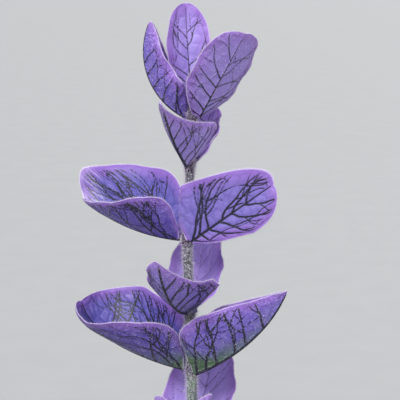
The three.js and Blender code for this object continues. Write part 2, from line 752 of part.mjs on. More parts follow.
function shootHead(shoot) {
  const frame = shootFrame(shoot, 1);
  frame.point.addScaledVector(frame.tangent, GAP + 0.1);
  const matrix = frameMatrix(frame);
  const core = straightTube(HEAD_CORE, 6).rotateY(-Math.PI / 2).applyMatrix4(matrix);
  const parts = [core];
  for (const { at, turn, ...size } of HEAD_PAIRS) {
    const lift = new THREE.Matrix4().makeTranslation(0, 0, at);
    const place = matrix.clone().multiply(lift);
    parts.push(...pairOfBlades({ ...HEAD_BRACT, ...size }, turn, 4, 2, place));
  }
  return placeShoot(fuse(parts), shoot);
}

addPiece("pot", potGeometry(), "terracotta");
addPiece("soil", soilGeometry(), "soil");
addPiece("main_stem", fuse([stemGeometry(), ...whorlGeometries()]), "stem");
addBracts();
addFloralBracts();
addLeaves();
for (const [where, shoot] of Object.entries(SHOOTS)) {
  addPiece(`shoot_${where}_stem`, shootStem(shoot), "leaf");
  addPiece(`shoot_${where}_head`, shootHead(shoot), "violet");
}

export default group;
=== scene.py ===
"""Potted painted sage: a square, hairy stem with crossed pairs of veined violet bracts, in a clay pot."""

import math

import bpy
import numpy as np
from bpy.props import FloatProperty, FloatVectorProperty, IntProperty, PointerProperty
from mathutils import Matrix, Vector
from mathutils.kdtree import KDTree
from mathutils.noise import noise


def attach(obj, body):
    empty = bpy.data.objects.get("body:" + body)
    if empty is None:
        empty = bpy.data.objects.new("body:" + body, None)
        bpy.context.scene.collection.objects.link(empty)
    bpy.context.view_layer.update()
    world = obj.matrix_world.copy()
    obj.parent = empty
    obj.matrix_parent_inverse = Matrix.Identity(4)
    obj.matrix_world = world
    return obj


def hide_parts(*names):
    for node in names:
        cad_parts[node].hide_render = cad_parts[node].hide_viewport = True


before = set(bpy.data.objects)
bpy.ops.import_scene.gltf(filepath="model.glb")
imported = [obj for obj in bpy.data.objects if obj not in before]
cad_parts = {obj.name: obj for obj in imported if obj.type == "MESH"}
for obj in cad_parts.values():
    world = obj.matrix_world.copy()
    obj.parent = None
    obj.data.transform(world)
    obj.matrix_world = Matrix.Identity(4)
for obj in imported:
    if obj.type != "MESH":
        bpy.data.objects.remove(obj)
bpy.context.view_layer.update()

bl_info = {
    "name": "Potted painted sage",
    "version": (1, 0, 0),
    "blender": (4, 5, 0),
    "location": "View3D > Sidebar > Sage",
    "description": "Builds a painted sage with violet bracts, its clay pot and a plain studio",
    "category": "Add Mesh",
}

MM = 0.001

# Gap kept between neighbouring pieces, in millimetres like all the sizes of the plant below
GAP = 0.2

# Height of each pair on the stem, from the top pair down to the lowest leaves
PAIR_HEIGHT = [367, 361.5, 348, 326.6, 305.8, 288, 268.5, 250, 232, 215, 193, 168, 140, 116]

# Stem axis as height, x and y, and half width at its foot and top
STEM_AXIS = np.array([
    (0, 0, 0), (98, 0, 0), (140, -0.8, 0.5), (193, 0.4, -0.4), (258, 0.6, 0), (288, 0.5, 0),
    (305.8, -0.1, 0), (326.6, -0.8, 0), (348, 0, 0), (364, 0.8, 0),
])
STEM_FOOT = 72
STEM_TOP = 368.2
HALF_WIDTH_FOOT = 1.9
HALF_WIDTH_TOP = 1.0
NODE_SWELL = 0.35

# The pairs and the square of the stem are turned a little, so the right blades stand before the stem
TURN = -22
DIRECTIONS = {"right": TURN, "back": 90 + TURN, "left": 180 + TURN, "front": 270 + TURN}

# Blades fold up by 45 degrees where a half is FOLD_ROOM wide, and widen by at most SPREAD
FOLD_ROOM = 2.0
SPREAD = 6.0
LEAST_WIDTH = 0.08

BLADE = dict(
    length=20, width=8, rise=(40, 50), hook=0, plus={}, minus={}, fold=20, curl=20, open=0, roll=0,
    wave=0.4, waves=3, phase=0, peak=0.3, base=2.6, tip=2.1, blunt=0.6, neck=1.3, stalk=0, wide=1,
    teeth=0, tooth_depth=0.1, ease=0, out=2.2, aside=0, lift=0, clear=0, root=0.2, clasp={},
    lead=0, heel=0,
)

# Violet bracts. plus is the back half of a right bract and the front half of a left one.
# clasp is how far each half keeps from the middle of the stem, below zero where it passes in front.
# lead draws the end of a half forward, and heel draws its foot back towards the stem
BRACT = dict(ease=0.5, base=3.4, peak=0.32)
BRACTS = {
    "top_back": dict(
        pair=0, azimuth=102, length=26.4, width=6.8, rise=(64, 81), wave=0.2, phase=40, out=1.9,
        fold=5, curl=30, peak=0.45, base=2.2, tip=2.4, blunt=0.5, clasp={"plus": -1},
    ),
    "top_front": dict(
        pair=0, azimuth=262, length=5, width=1.3, rise=(88, 94), wave=0.1, out=2, lift=1.2, neck=0.9,
        fold=20, curl=40, peak=0.45, base=3, tip=2.4,
    ),
    "1_left": dict(
        pair=1, azimuth=168, length=31, width=9.5, rise=(24, 115), roll=12, wave=0.6, waves=2.2, out=2,
        phase=60, curl=35, plus={"fold": 36}, minus={"fold": 38}, peak=0.25, tip=1.8, clasp={"plus": 1},
    ),
    "1_right": dict(
        pair=1, azimuth=-30, length=27.6, width=10.5, rise=(59, 59), roll=-30, wave=0.3, out=2, fold=5,
        base=2, plus={"curl": 35, "wide": 1.08}, minus={"curl": 12, "wide": 0.84}, peak=0.45, tip=3.6,
        blunt=0.5, clasp={"plus": 1.2, "minus": 0.6},
    ),
    "2_front": dict(
        pair=2, azimuth=248, length=26, width=14, rise=(36, 62), wave=0.3,
        plus={"fold": 40, "curl": 25, "wide": 0.92, "tip": 1, "blunt": 1.3},
        minus={"fold": 42, "curl": 30, "wide": 0.8},
    ),
    "2_back": dict(
        pair=2, azimuth=62, length=19, width=8, rise=(44, 62), base=1.6, peak=0.5, fold=15, curl=40,
    ),
    "3_left": dict(
        pair=3, azimuth=160, length=32, width=15.5, rise=(0, 34), hook=6, roll=-18, wave=0.35,
        plus={
            "fold": 42.33, "curl": 37.34, "open": 42.29, "wide": 1.1, "base": 2.68, "peak": 0.29,
            "tip": 2.01, "blunt": 0.66, "lead": 0.1, "heel": 1.02,
        },
        minus={
            "fold": 10, "curl": 21.89, "open": 69.23, "wide": 1.4, "base": 2.44, "peak": 0.55,
            "tip": 1.51, "blunt": 0.44, "lead": 16, "heel": 1.5,
        },
        blunt=0.5, open=44, peak=0.34, clasp={"plus": 2},
    ),
    "3_right": dict(
        pair=3, azimuth=-25, length=30.8, width=12.4, rise=(37, 37), roll=72, aside=-2, wave=0.3,
        plus={
            "fold": 20.13, "curl": -0.73, "wide": 1.24, "base": 4, "peak": 0.12,
            "tip": 1.2, "blunt": 0.72, "lead": 16, "heel": 1.02,
        },
        minus={
            "fold": 0, "curl": -20, "wide": 0.65, "base": 0.8, "peak": 0.59,
            "tip": 2.77, "blunt": 0.53, "lead": 0, "heel": -2,
        },
        clear=0.2, clasp={"minus": -1.6},
    ),
    "4_front": dict(
        pair=4, azimuth=250, length=31, width=16, rise=(13, 72), wave=0.5,
        plus={
            "fold": 28.78, "curl": 30.31, "open": 10.53, "wide": 0.84, "base": 3.73, "peak": 0.4,
            "tip": 0.91, "blunt": 0.97, "lead": 0.37, "heel": 9.52,
        },
        minus={"fold": 25, "curl": 25, "wide": 0.66},
    ),
    "4_back": dict(
        pair=4, azimuth=75, length=26.4, width=9.5, rise=(45, 60), base=2, fold=10, curl=40,
    ),
    "5_left": dict(
        pair=5, azimuth=160, length=39, width=16, rise=(7, 30), hook=50, roll=-14, wave=0.5, waves=2.5,
        plus={
            "fold": 40.8, "curl": 33.17, "open": 64.77, "wide": 1.11, "base": 1.96, "peak": 0.31,
            "tip": 2.78, "blunt": 0.44, "lead": 3.69, "heel": 0.94,
        },
        minus={
            "fold": 32.71, "curl": 38.16, "open": 70, "wide": 1.16, "base": 3.49, "peak": 0.55,
            "tip": 1.37, "blunt": 0.59, "lead": 7.19, "heel": 6.88,
        },
        open=44, peak=0.34, clasp={"plus": 2},
    ),
    "5_right": dict(
        pair=5, azimuth=-24, length=40, width=15, rise=(27, 60), hook=10, roll=-4, aside=-2.6,
        wave=0.5, base=3.8, fold=60, curl=15, peak=0.3, tip=1.6, blunt=0.85, clear=0.2,
        clasp={"minus": -1.2},
    ),
    "6_front": dict(
        pair=6, azimuth=250, length=26.5, width=14, rise=(20, 68),
        plus={"fold": 46, "curl": 35, "tip": 1, "blunt": 1.2}, minus={"fold": 25, "curl": 30, "wide": 0.8},
    ),
    "6_back": dict(
        pair=6, azimuth=70, length=28.4, width=12, rise=(45, 55), fold=10, curl=30,
    ),
}

# How pale and green each violet bract is, how dark and bold its veins are, and how fine its mesh is
BRACT_LOOKS = {
    "top_back": dict(pale=0.8, green=0.05, dark=0.8, bold=0.5, mesh=(130, 64)),
    "top_front": dict(pale=0.7, green=0.3, dark=0.5, bold=0.6, mesh=(30, 16)),
    "1_left": dict(pale=0.25, green=0.05, dark=0.9, bold=0.7, mesh=(150, 84)),
    "1_right": dict(pale=1.1, green=0.05, dark=0.8, bold=0.62, mesh=(140, 88)),
    # 2_front is paled as painted light, since its face turns down away from the lights
    "2_front": dict(pale=1, green=0.05, dark=0.85, bold=0.75, mesh=(140, 100)),
    # 2_back, like 4_back, is paled as a painted glow of light shining through it
    "2_back": dict(pale=1, green=0.05, dark=0.6, bold=0.8, mesh=(90, 60)),
    "3_left": dict(pale=0.05, green=0.05, dark=1, bold=1.15, mesh=(160, 130)),
    "3_right": dict(pale=0.3, green=0.1, dark=1, bold=0.95, mesh=(150, 110)),
    "4_front": dict(pale=0.45, green=0.25, dark=1, bold=1.3, mesh=(150, 120)),
    # 4_back is paled far past its own tone, as a painted glow of light shining through it while it hangs
    # in shade
    "4_back": dict(pale=2.2, green=0.05, dark=0.4, bold=0.6, mesh=(110, 70)),
    "5_left": dict(pale=0, green=0.5, dark=1, bold=1.1, mesh=(170, 130)),
    "5_right": dict(pale=0.15, green=0.75, dark=1, bold=1.1, mesh=(170, 120)),
    "6_front": dict(pale=1.4, green=0.4, dark=0.5, bold=0.7, mesh=(120, 90)),
    "6_back": dict(pale=1.8, green=0.7, dark=0.5, bold=0.7, mesh=(100, 70)),
}

# Veins: length of a growth step, lengths before the first and the next forks, thinnest vein that grows
VEIN_STEP = 0.3
FIRST_FORK = (2.8, 5.4)
NEXT_FORK = (3.0, 5.6)
THINNEST_VEIN = 0.06

# Cells of the two nets of small veins
WIDE_CELL = 2.9
FINE_CELL = 0.95

# Radius of the hairs, gap between the hairs of a fringe and their length, hairs to a millimetre of
# a bract, and the height from which the stem is more hairy
STEM_HAIR = 0.044
BRACT_HAIR = 0.036
FRINGE_GAP = 0.16
FRINGE_LENGTH = 0.7
FACE_HAIR_LENGTH = 0.45
FACE_HAIRS = 24
HAIRY_STEM = 256

# Green and purple bracts under the flowers
WHORLS = [
    dict(pair=7, sides=("left", "right"), open=False, length=19, width=8.2),
    dict(pair=8, sides=("front", "back"), open=True, length=17, width=7.4),
    dict(pair=9, sides=("left", "right"), open=True, length=13.4, width=6),
]
FLORAL_BRACT = dict(rise=(28, 12), wave=0.5, peak=0.35, tip=1.8, out=2.4, fold=16, curl=25)
FLOWER_SPREAD = 30
FLOWER_LEAN = 52
FLOWER_START = 0.6

# Stalked leaves with toothed edges, one size for each pair
LEAF = dict(
    rise=(44, -4), wave=0.8, waves=2.5, stalk=0.24, neck=0.95, root=0.5, out=2.5, teeth=24,
    tooth_depth=0.07, peak=0.4, base=2.2, tip=1.7, blunt=0.7, fold=14, curl=14,
)
LEAF_PAIRS = [
    dict(pair=10, sides=("front", "back"), length=32, width=8.5, rise=(58, 30), stalk=0.16),
    dict(pair=11, sides=("left", "right"), length=52, width=12, rise=(46, -4)),
    dict(pair=12, sides=("front", "back"), length=64, width=14, rise=(40, -6)),
    dict(pair=13, sides=("left", "right"), length=64, width=14, rise=(40, 2)),
]

# Side shoots, each from the angle above a leaf
SHOOTS = {
    "left": dict(pair=11, azimuth=162, length=66, lean=(34, 84)),
    "right": dict(pair=11, azimuth=331, length=60, lean=(33, 85)),
    "front": dict(pair=12, azimuth=254, length=78, lean=(46, 82)),
    "back": dict(pair=12, azimuth=75, length=72, lean=(46, 84)),
}

# Start of a side shoot, out from the stem and above its leaf, and its radius at its foot and end
SHOOT_START = (2.95, 5.8)
SHOOT_RADIUS = (1.1, 0.85)
SHOOT_LEAVES = [
    dict(at=0.4, turn=78, length=20, width=5.4, rise=(48, 8)),
    dict(at=0.74, turn=160, length=14, width=4.6, rise=(50, 16)),
]
SHOOT_LEAF = dict(
    teeth=12, tooth_depth=0.08, out=0.2, neck=0.8, wave=0.4, peak=0.42, base=2, tip=1.7,
    fold=14, curl=14,
)

# Violet head of a side shoot: its core as height and radius, and its pairs of bracts
HEAD_CORE = [(0, 0.85), (3, 1.5), (8, 1.2), (11, 0.5)]
HEAD_PAIRS = [
    dict(at=1.6, turn=0, length=19, width=8.6, rise=(26, 52)),
    dict(at=5.5, turn=90, length=17, width=7.6, rise=(40, 66)),
    dict(at=9, turn=0, length=14, width=5.2, rise=(62, 84)),
]
HEAD_BRACT = dict(out=0.4, neck=1, wave=0.3, fold=24, curl=34, peak=0.36, tip=2)

# Pot and soil
WALL = 5.5
POT_FLOOR = 7
DRAIN_RADIUS = 9
RIM_STEP = 4.5
SOIL_TOP = 98
POT_SIDES = 144

# Camera: 120 mm lens on a 36 mm frame, level turn, tilt and distance that frame the top of the plant
CAMERA_TARGET = Vector((2.8, 0, 338)) * MM
CAMERA_DISTANCE = 0.373
CAMERA_TILT = 12
CAMERA_LENS = 120


def shade(code):
    """Linear red, green and blue of a colour written as six hex digits."""
    parts = [int(code[k : k + 2], 16) / 255 for k in (0, 2, 4)]
    return tuple(c / 12.92 if c <= 0.04045 else ((c + 0.055) / 1.055) ** 2.4 for c in parts)


def length_prop(name, description, default):
    return FloatProperty(name=name, description=description, default=default, unit="LENGTH", min=0)


def colour_prop(name, description, code):
    return FloatVectorProperty(
        name=name, description=description, default=shade(code), subtype="COLOR", min=0, max=1
    )


class SagePotSizes(bpy.types.PropertyGroup):
    """Sizes and colours of the pot and the soil."""

    rim_radius: length_prop("Rim radius", "Outer radius of the pot's rim", 0.065)
    foot_radius: length_prop("Foot radius", "Outer radius of the pot's foot", 0.043)
    height: length_prop("Height", "Height of the pot", 0.112)
    rim_height: length_prop("Rim height", "Height of the rolled rim", 0.022)
    clay: colour_prop("Clay", "Colour of the fired clay", "b4694a")
    bloom: colour_prop("Bloom", "Colour of the lime bloom on the clay", "d9b9a4")
    soil: colour_prop("Soil", "Colour of the potting soil", "3a2a20")
    perlite: colour_prop("Perlite", "Colour of the white grains in the soil", "dcd8cf")


class SagePlantLooks(bpy.types.PropertyGroup):
    """Sizes and colours of the plant."""

    thickness: length_prop("Blade thickness", "Thickness of a bract away from its edge", 0.00034)
    puff: length_prop("Puff", "How far a blade swells between its veins", 0.00016)
    vein_size: FloatProperty(
        name="Vein size", description="Thickness of the veins, 1 as grown", default=1, min=0.1
    )
    hair_length: length_prop("Hair length", "Length of the hairs on the stem", 0.00095)
    hair_count: IntProperty(name="Stem hairs", description="Hairs on the upper stem", default=15000, min=0)
    inner: colour_prop("Inner face", "Inner face of the violet bracts", "4c469a")
    outer: colour_prop("Outer face", "Outer face of the violet bracts", "5846a6")
    pale: colour_prop("Pale violet", "Light patches and young bracts", "9f88d2")
    border: colour_prop("Edge", "Pink edge of the violet bracts", "8f64ba")
    vein: colour_prop("Vein", "Veins of the violet bracts", "0c0a24")
    keel: colour_prop("Keel", "Green keel and foot of the lower bracts", "425e3e")
    hair: colour_prop("Hair", "Hairs", "eeeaf4")
    leaf: colour_prop("Leaf", "Leaf between the veins", "4c6b34")
    leaf_vein: colour_prop("Leaf vein", "Veins of the leaves", "9db07a")
    stem_low: colour_prop("Lower stem", "Green of the stem", "6b8d62")
    stem_high: colour_prop("Upper stem", "Purple of the stem and its nodes", "402a46")
    petal: colour_prop("Petal", "Hood of the flowers", "b9a0e0")
    petal_low: colour_prop("Lower lip", "Lower lip of the flowers", "ece4f6")


class SageStage(bpy.types.PropertyGroup):
    """The plain studio."""

    floor: colour_prop("Floor", "Colour of the floor", "96989a")
    key: FloatProperty(name="Key light", description="Strength of the main light", default=3.2, min=0)
    air: FloatProperty(name="Room light", description="Light from all round", default=0.42, min=0)


class Socket:
    """One output socket of a material. Arithmetic on it adds Math nodes."""

    def __init__(self, finish, link):
        self.finish = finish
        self.link = link

    def math(self, operation, first, second):
        return self.finish.node("ShaderNodeMath", {"operation": operation}, {0: first, 1: second})

    def __add__(self, other):
        return self.math("ADD", self, other)

    def __radd__(self, other):
        return self.math("ADD", other, self)

    def __sub__(self, other):
        return self.math("SUBTRACT", self, other)

    def __rsub__(self, other):
        return self.math("SUBTRACT", other, self)

    def __mul__(self, other):
        return self.math("MULTIPLY", self, other)

    def __rmul__(self, other):
        return self.math("MULTIPLY", other, self)


class Finish:
    """A material, its main shader and the nodes that feed it."""

    def __init__(self, name, glow=0.0, tint=(1, 1, 1), depth=0.8):
        """glow is how much light comes back out of the skin, in its tint and from its depth."""
        self.material = bpy.data.materials.new(name)
        self.material.use_nodes = True
        self.tree = self.material.node_tree
        self.shader = self.tree.nodes["Principled BSDF"]
        self.place = self.node("ShaderNodeTexCoord", {}, {}, "Object")
        if glow:
            for socket, value in (("Weight", glow), ("Radius", tint), ("Scale", depth * MM)):
                self.shader.inputs[f"Subsurface {socket}"].default_value = value

    def node(self, kind, settings, inputs, output=0):
        """Adds a node: its settings first, then the values and links of its sockets."""
        made = self.tree.nodes.new(kind)
        for name, value in settings.items():
            setattr(made, name, value)
        for name, value in inputs.items():
            self.feed(made.inputs[name], value)
        return Socket(self, made.outputs[output])

    def feed(self, socket, value):
        if isinstance(value, Socket):
            self.tree.links.new(value.link, socket)
        elif socket.type == "RGBA":
            socket.default_value = (*value, 1) if len(value) == 3 else value
        else:
            socket.default_value = value

    def attribute(self, name):
        return self.node("ShaderNodeAttribute", {"attribute_name": name}, {}, "Fac")

    def noise(self, size, detail=3.0, roughness=0.5, stretch=None):
        """Noise with patches of about that many millimetres, from 0 to 1."""
        vector = self.place
        if stretch:
            settings = {"operation": "MULTIPLY"}
            vector = self.node("ShaderNodeVectorMath", settings, {0: vector, 1: stretch})
        inputs = {"Vector": vector, "Scale": 1 / (size * MM), "Detail": detail, "Roughness": roughness}
        return self.node("ShaderNodeTexNoise", {}, inputs)

    def smooth(self, value, low, high):
        """Runs smoothly from 0 at low to 1 at high."""
        settings = {"interpolation_type": "SMOOTHSTEP"}
        inputs = {"Value": value, "From Min": low, "From Max": high}
        return self.node("ShaderNodeMapRange", settings, inputs)

    def mix(self, factor, first, second):
        return self.node("ShaderNodeMix", {"data_type": "RGBA"}, {0: factor, 6: first, 7: second}, 2)

    def height(self):
        """Height above the floor in millimetres."""
        return self.node("ShaderNodeSeparateXYZ", {}, {0: self.place}, 2) * 1000

    def bump(self, height, distance):
        inputs = {"Height": height, "Distance": distance * MM}
        self.feed(self.shader.inputs["Normal"], self.node("ShaderNodeBump", {}, inputs))

    def finished(self, skin, rough):
        """The material with its colour and its roughness."""
        self.feed(self.shader.inputs["Base Color"], skin)
        self.feed(self.shader.inputs["Roughness"], rough)
        return self.material


def violet_finish(looks):
    """Bract: pale patches, dark veins, a pink edge and a green foot."""
    f = Finish("violet bract", 0.18, (1, 0.6, 1.1), 0.7)
    patches = f.noise(5, 3)
    grain = f.noise(0.45, 2)
    face = f.attribute("face")
    vein = f.smooth(f.attribute("vein"), 0.12, 0.68)
    rim = f.attribute("rim")
    # The pale share is each bract's own lighter tone and, on 2_front, 2_back and 4_back, painted light as
    # well
    inner = f.mix(f.attribute("pale") + (patches - 0.5) * 0.6, looks.inner, looks.pale)
    outer = f.mix(f.attribute("pale") * 0.7 + (patches - 0.5) * 0.4, looks.outer, looks.pale)
    skin = f.mix(face, inner, outer)
    # Lighter in the middle of each swollen cell: partly the bract's own lighter tissue between the veins,
    # partly a painted highlight on the swelling
    skin = f.mix(f.attribute("cell") * 0.3 * f.smooth(grain, 0.3, 0.7), skin, looks.pale)
    flush = 1 - f.smooth(rim + (patches - 0.5) * 4, 0.0, 5.0)
    skin = f.mix(flush * (0.35 + 0.7 * grain), skin, looks.border)
    green = f.attribute("green") * f.smooth(patches + f.attribute("green") * 0.5, 0.35, 0.75)
    skin = f.mix(green, skin, looks.keel)
    skin = f.mix(vein, skin, looks.vein)
    skin = f.mix((1 - f.smooth(rim, 0.06, 0.3)) * 0.4, skin, looks.hair)
    glints = f.smooth(f.noise(0.3, 1), 0.6, 0.72) * (0.12 + 0.28 * face)
    skin = f.mix(glints, skin, looks.hair)
    f.bump(grain, 0.03)
    return f.finished(skin, 0.5 + (grain - 0.5) * 0.25)


def floral_finish(looks):
    """Floral bract: green with a purple flush towards its edge and dark veins."""
    f = Finish("floral bract", 0.2, (0.8, 1, 0.4))
    patches = f.noise(4, 3)
    grain = f.noise(0.5, 2)
    flush = 1 - f.smooth(f.attribute("rim") + (patches - 0.5) * 3, 0.2, 3.2)
    skin = f.mix(patches, looks.leaf, looks.leaf_vein)
    skin = f.mix(flush * 0.8, skin, looks.inner)
    skin = f.mix(f.attribute("vein") * 0.6, skin, looks.stem_high)
    f.bump(grain, 0.03)
    return f.finished(skin, 0.55 + (grain - 0.5) * 0.2)


def leaf_finish(looks):
    """Leaf: dull green, lighter veins and underside."""
    f = Finish("leaf", 0.15, (0.6, 1, 0.3))
    patches = f.noise(7, 4)
    grain = f.noise(0.5, 2)
    skin = f.mix((patches - 0.4) * 0.5 + f.attribute("face") * 0.4, looks.leaf, looks.leaf_vein)
    skin = f.mix(f.attribute("vein") * 0.7, skin, looks.leaf_vein)
    f.bump(grain, 0.05)
    return f.finished(skin, 0.6 + (grain - 0.5) * 0.2)


def stem_finish(looks):
    """Stem: green below, purple towards the top and at the nodes, with fine streaks and specks."""
    f = Finish("stem", 0.1, (0.6, 1, 0.4))
    streaks = f.noise(0.7, 3, stretch=(1, 1, 0.12))
    specks = f.noise(0.5, 3)
    height = f.height()
    purple = f.smooth(height + (streaks - 0.5) * 60, 262, 335) * 0.85
    purple = purple + f.attribute("node") * 0.6
    skin = f.mix(purple, looks.stem_low, looks.stem_high)
    skin = f.mix(f.smooth(specks, 0.52, 0.64) * 0.75, skin, looks.vein)
    skin = f.mix(f.smooth(specks, 0.46, 0.36) * 0.65, skin, looks.hair)
    skin = f.mix(f.attribute("node") * 0.7, skin, looks.stem_high)
    f.bump(streaks, 0.08)
    return f.finished(skin, 0.55 + (specks - 0.5) * 0.2)


def hair_finish(looks):
    f = Finish("hair")
    return f.finished(f.mix(f.noise(1.5, 1) * 0.4, looks.hair, looks.border), 0.4)


def petal_finish(looks):
    """Flower: lilac hood that fades to a white throat and lower lip."""
    f = Finish("petal", 0.3, (1, 0.7, 1))
    patches = f.noise(1.6, 2)
    skin = f.mix(f.attribute("pale") + (patches - 0.5) * 0.5, looks.petal, looks.petal_low)
    return f.finished(skin, 0.5)


def calyx_finish(looks):
    """Calyx: green with purple ribs."""
    f = Finish("calyx")
    patches = f.noise(1.5, 3)
    skin = f.mix(patches, looks.stem_low, looks.leaf)
    skin = f.mix(f.attribute("vein") * 0.8, skin, looks.stem_high)
    f.bump(patches, 0.05)
    return f.finished(skin, 0.55)


def clay_finish(sizes):
    """Fired clay: mottled, with a chalky bloom in patches and fine pores."""
    f = Finish("terracotta")
    mottle = f.noise(9, 5, 0.6)
    grain = f.noise(0.7, 3)
    rings = f.noise(3, 2, stretch=(0.12, 0.12, 1))
    bloom = f.smooth(f.noise(30, 6, 0.65) + (grain - 0.5) * 0.15, 0.52, 0.68)
    dark = tuple(c * 0.62 for c in sizes.clay)
    skin = f.mix(f.smooth(mottle, 0.3, 0.75) * 0.5, sizes.clay, dark)
    skin = f.mix(bloom * 0.55, skin, sizes.bloom)
    f.bump(grain * 0.5 + rings * 0.8, 0.35)
    return f.finished(skin, 0.82 + (grain - 0.5) * 0.2)


def soil_finish(sizes):
    """Potting soil: dark, crumbly, with lighter fibres."""
    f = Finish("soil")
    crumbs = f.noise(1.6, 5, 0.7)
    patches = f.noise(12, 3)
    light = tuple(min(1, c * 2.6) for c in sizes.soil)
    skin = f.mix(f.smooth(crumbs, 0.4, 0.8) * 0.6 + (patches - 0.5) * 0.4, sizes.soil, light)
    f.bump(crumbs, 0.9)
    return f.finished(skin, 0.95)


def perlite_finish(sizes):
    f = Finish("perlite")
    pores = f.noise(0.4, 3)
    f.bump(pores, 0.2)
    return f.finished(f.mix(pores * 0.5, sizes.perlite, tuple(c * 0.7 for c in sizes.perlite)), 0.9)


def floor_finish(stage):
    f = Finish("studio floor")
    return f.finished(f.mix(f.noise(40, 2) * 0.04, stage.floor, (1.0, 1.0, 1.0)), 0.85)


def deselect():
    bpy.ops.object.select_all(action="DESELECT")


def coordinates(mesh):
    """The mesh's vertices as an array."""
    co = np.zeros(len(mesh.vertices) * 3)
    mesh.vertices.foreach_get("co", co)
    return co.reshape(-1, 3)


def set_coordinates(mesh, points):
    mesh.vertices.foreach_set("co", np.ascontiguousarray(points, dtype=np.float32).ravel())
    mesh.update()


def set_attribute(mesh, name, values):
    layer = mesh.attributes.get(name) or mesh.attributes.new(name, "FLOAT", "POINT")
    layer.data.foreach_set("value", np.ascontiguousarray(values, dtype=np.float32).ravel())


def dress(piece, material, node=None):
    """Gives a piece its material and its place in the part."""
    piece.data.materials.clear()
    piece.data.materials.append(material)
    for face in piece.data.polygons:
        face.use_smooth = True
    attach(piece, "root")
    if node:
        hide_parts(node)
    return piece


def join(name, pieces):
    deselect()
    for piece in pieces:
        piece.select_set(True)
    bpy.context.view_layer.objects.active = pieces[0]
    if len(pieces) > 1:
        bpy.ops.object.join()
    joined = bpy.context.object
    joined.name = name
    return joined


def ramp(value, low, high):
    """Runs smoothly from 0 at low to 1 at high."""
    t = np.clip((value - low) / (high - low), 0, 1)
    return t * t * (3 - 2 * t)


def stem_axis(z):
    """x and y of the middle of the stem at a height."""
    heights = STEM_AXIS[:, 0]
    low = np.clip(np.searchsorted(heights, z, side="right") - 1, 0, len(heights) - 2)
    t = ramp(z, heights[low], heights[low + 1])
    x = STEM_AXIS[low, 1] * (1 - t) + STEM_AXIS[low + 1, 1] * t
    y = STEM_AXIS[low, 2] * (1 - t) + STEM_AXIS[low + 1, 2] * t
    return x, y


def node_bulge(z):
    return sum(np.exp(-(((z - node) / 1.8) ** 2)) for node in PAIR_HEIGHT[1:])


def stem_half_width(z):
    t = np.clip((z - STEM_FOOT) / (STEM_TOP - STEM_FOOT), 0, 1)
    half = HALF_WIDTH_FOOT * (1 - t**1.3) + HALF_WIDTH_TOP * t**1.3
    return half + NODE_SWELL * node_bulge(z)


def half_of(shape, key, v):
    """A value that may differ between the plus half and the minus half of a blade."""
    return np.where(v >= 0, shape["plus"].get(key, shape[key]), shape["minus"].get(key, shape[key]))


def outline(u, peak, base, tip, blunt):
    """Width of a blade along its length: from the base to the peak, then rounded off to the tip."""
    rising = np.sqrt(np.clip(1 - np.clip((peak - u) / peak, 0, 1) ** base, 0, 1))
    falling = np.clip(1 - np.clip((u - peak) / (1 - peak), 0, 1) ** tip, 0, 1) ** blunt
    return np.where(u < peak, rising, falling)


def half_width(shape, u, v):
    """Half width of a blade in millimetres, with its stalk and without its teeth."""
    stalk = shape["stalk"]
    share = np.clip((u - stalk) / (1 - stalk), 0, 1)
    full = outline(share, *(half_of(shape, key, v) for key in ("peak", "base", "tip", "blunt")))
    wide = shape["width"] * half_of(shape, "wide", v) * full
    if stalk:
        neck = shape["neck"] * (1 - share**2)
    else:
        wide = np.minimum(wide, SPREAD * u * shape["length"])
        neck = shape["neck"] * np.exp(-((u / 0.1) ** 2))
    return np.maximum(np.hypot(wide, neck), LEAST_WIDTH)


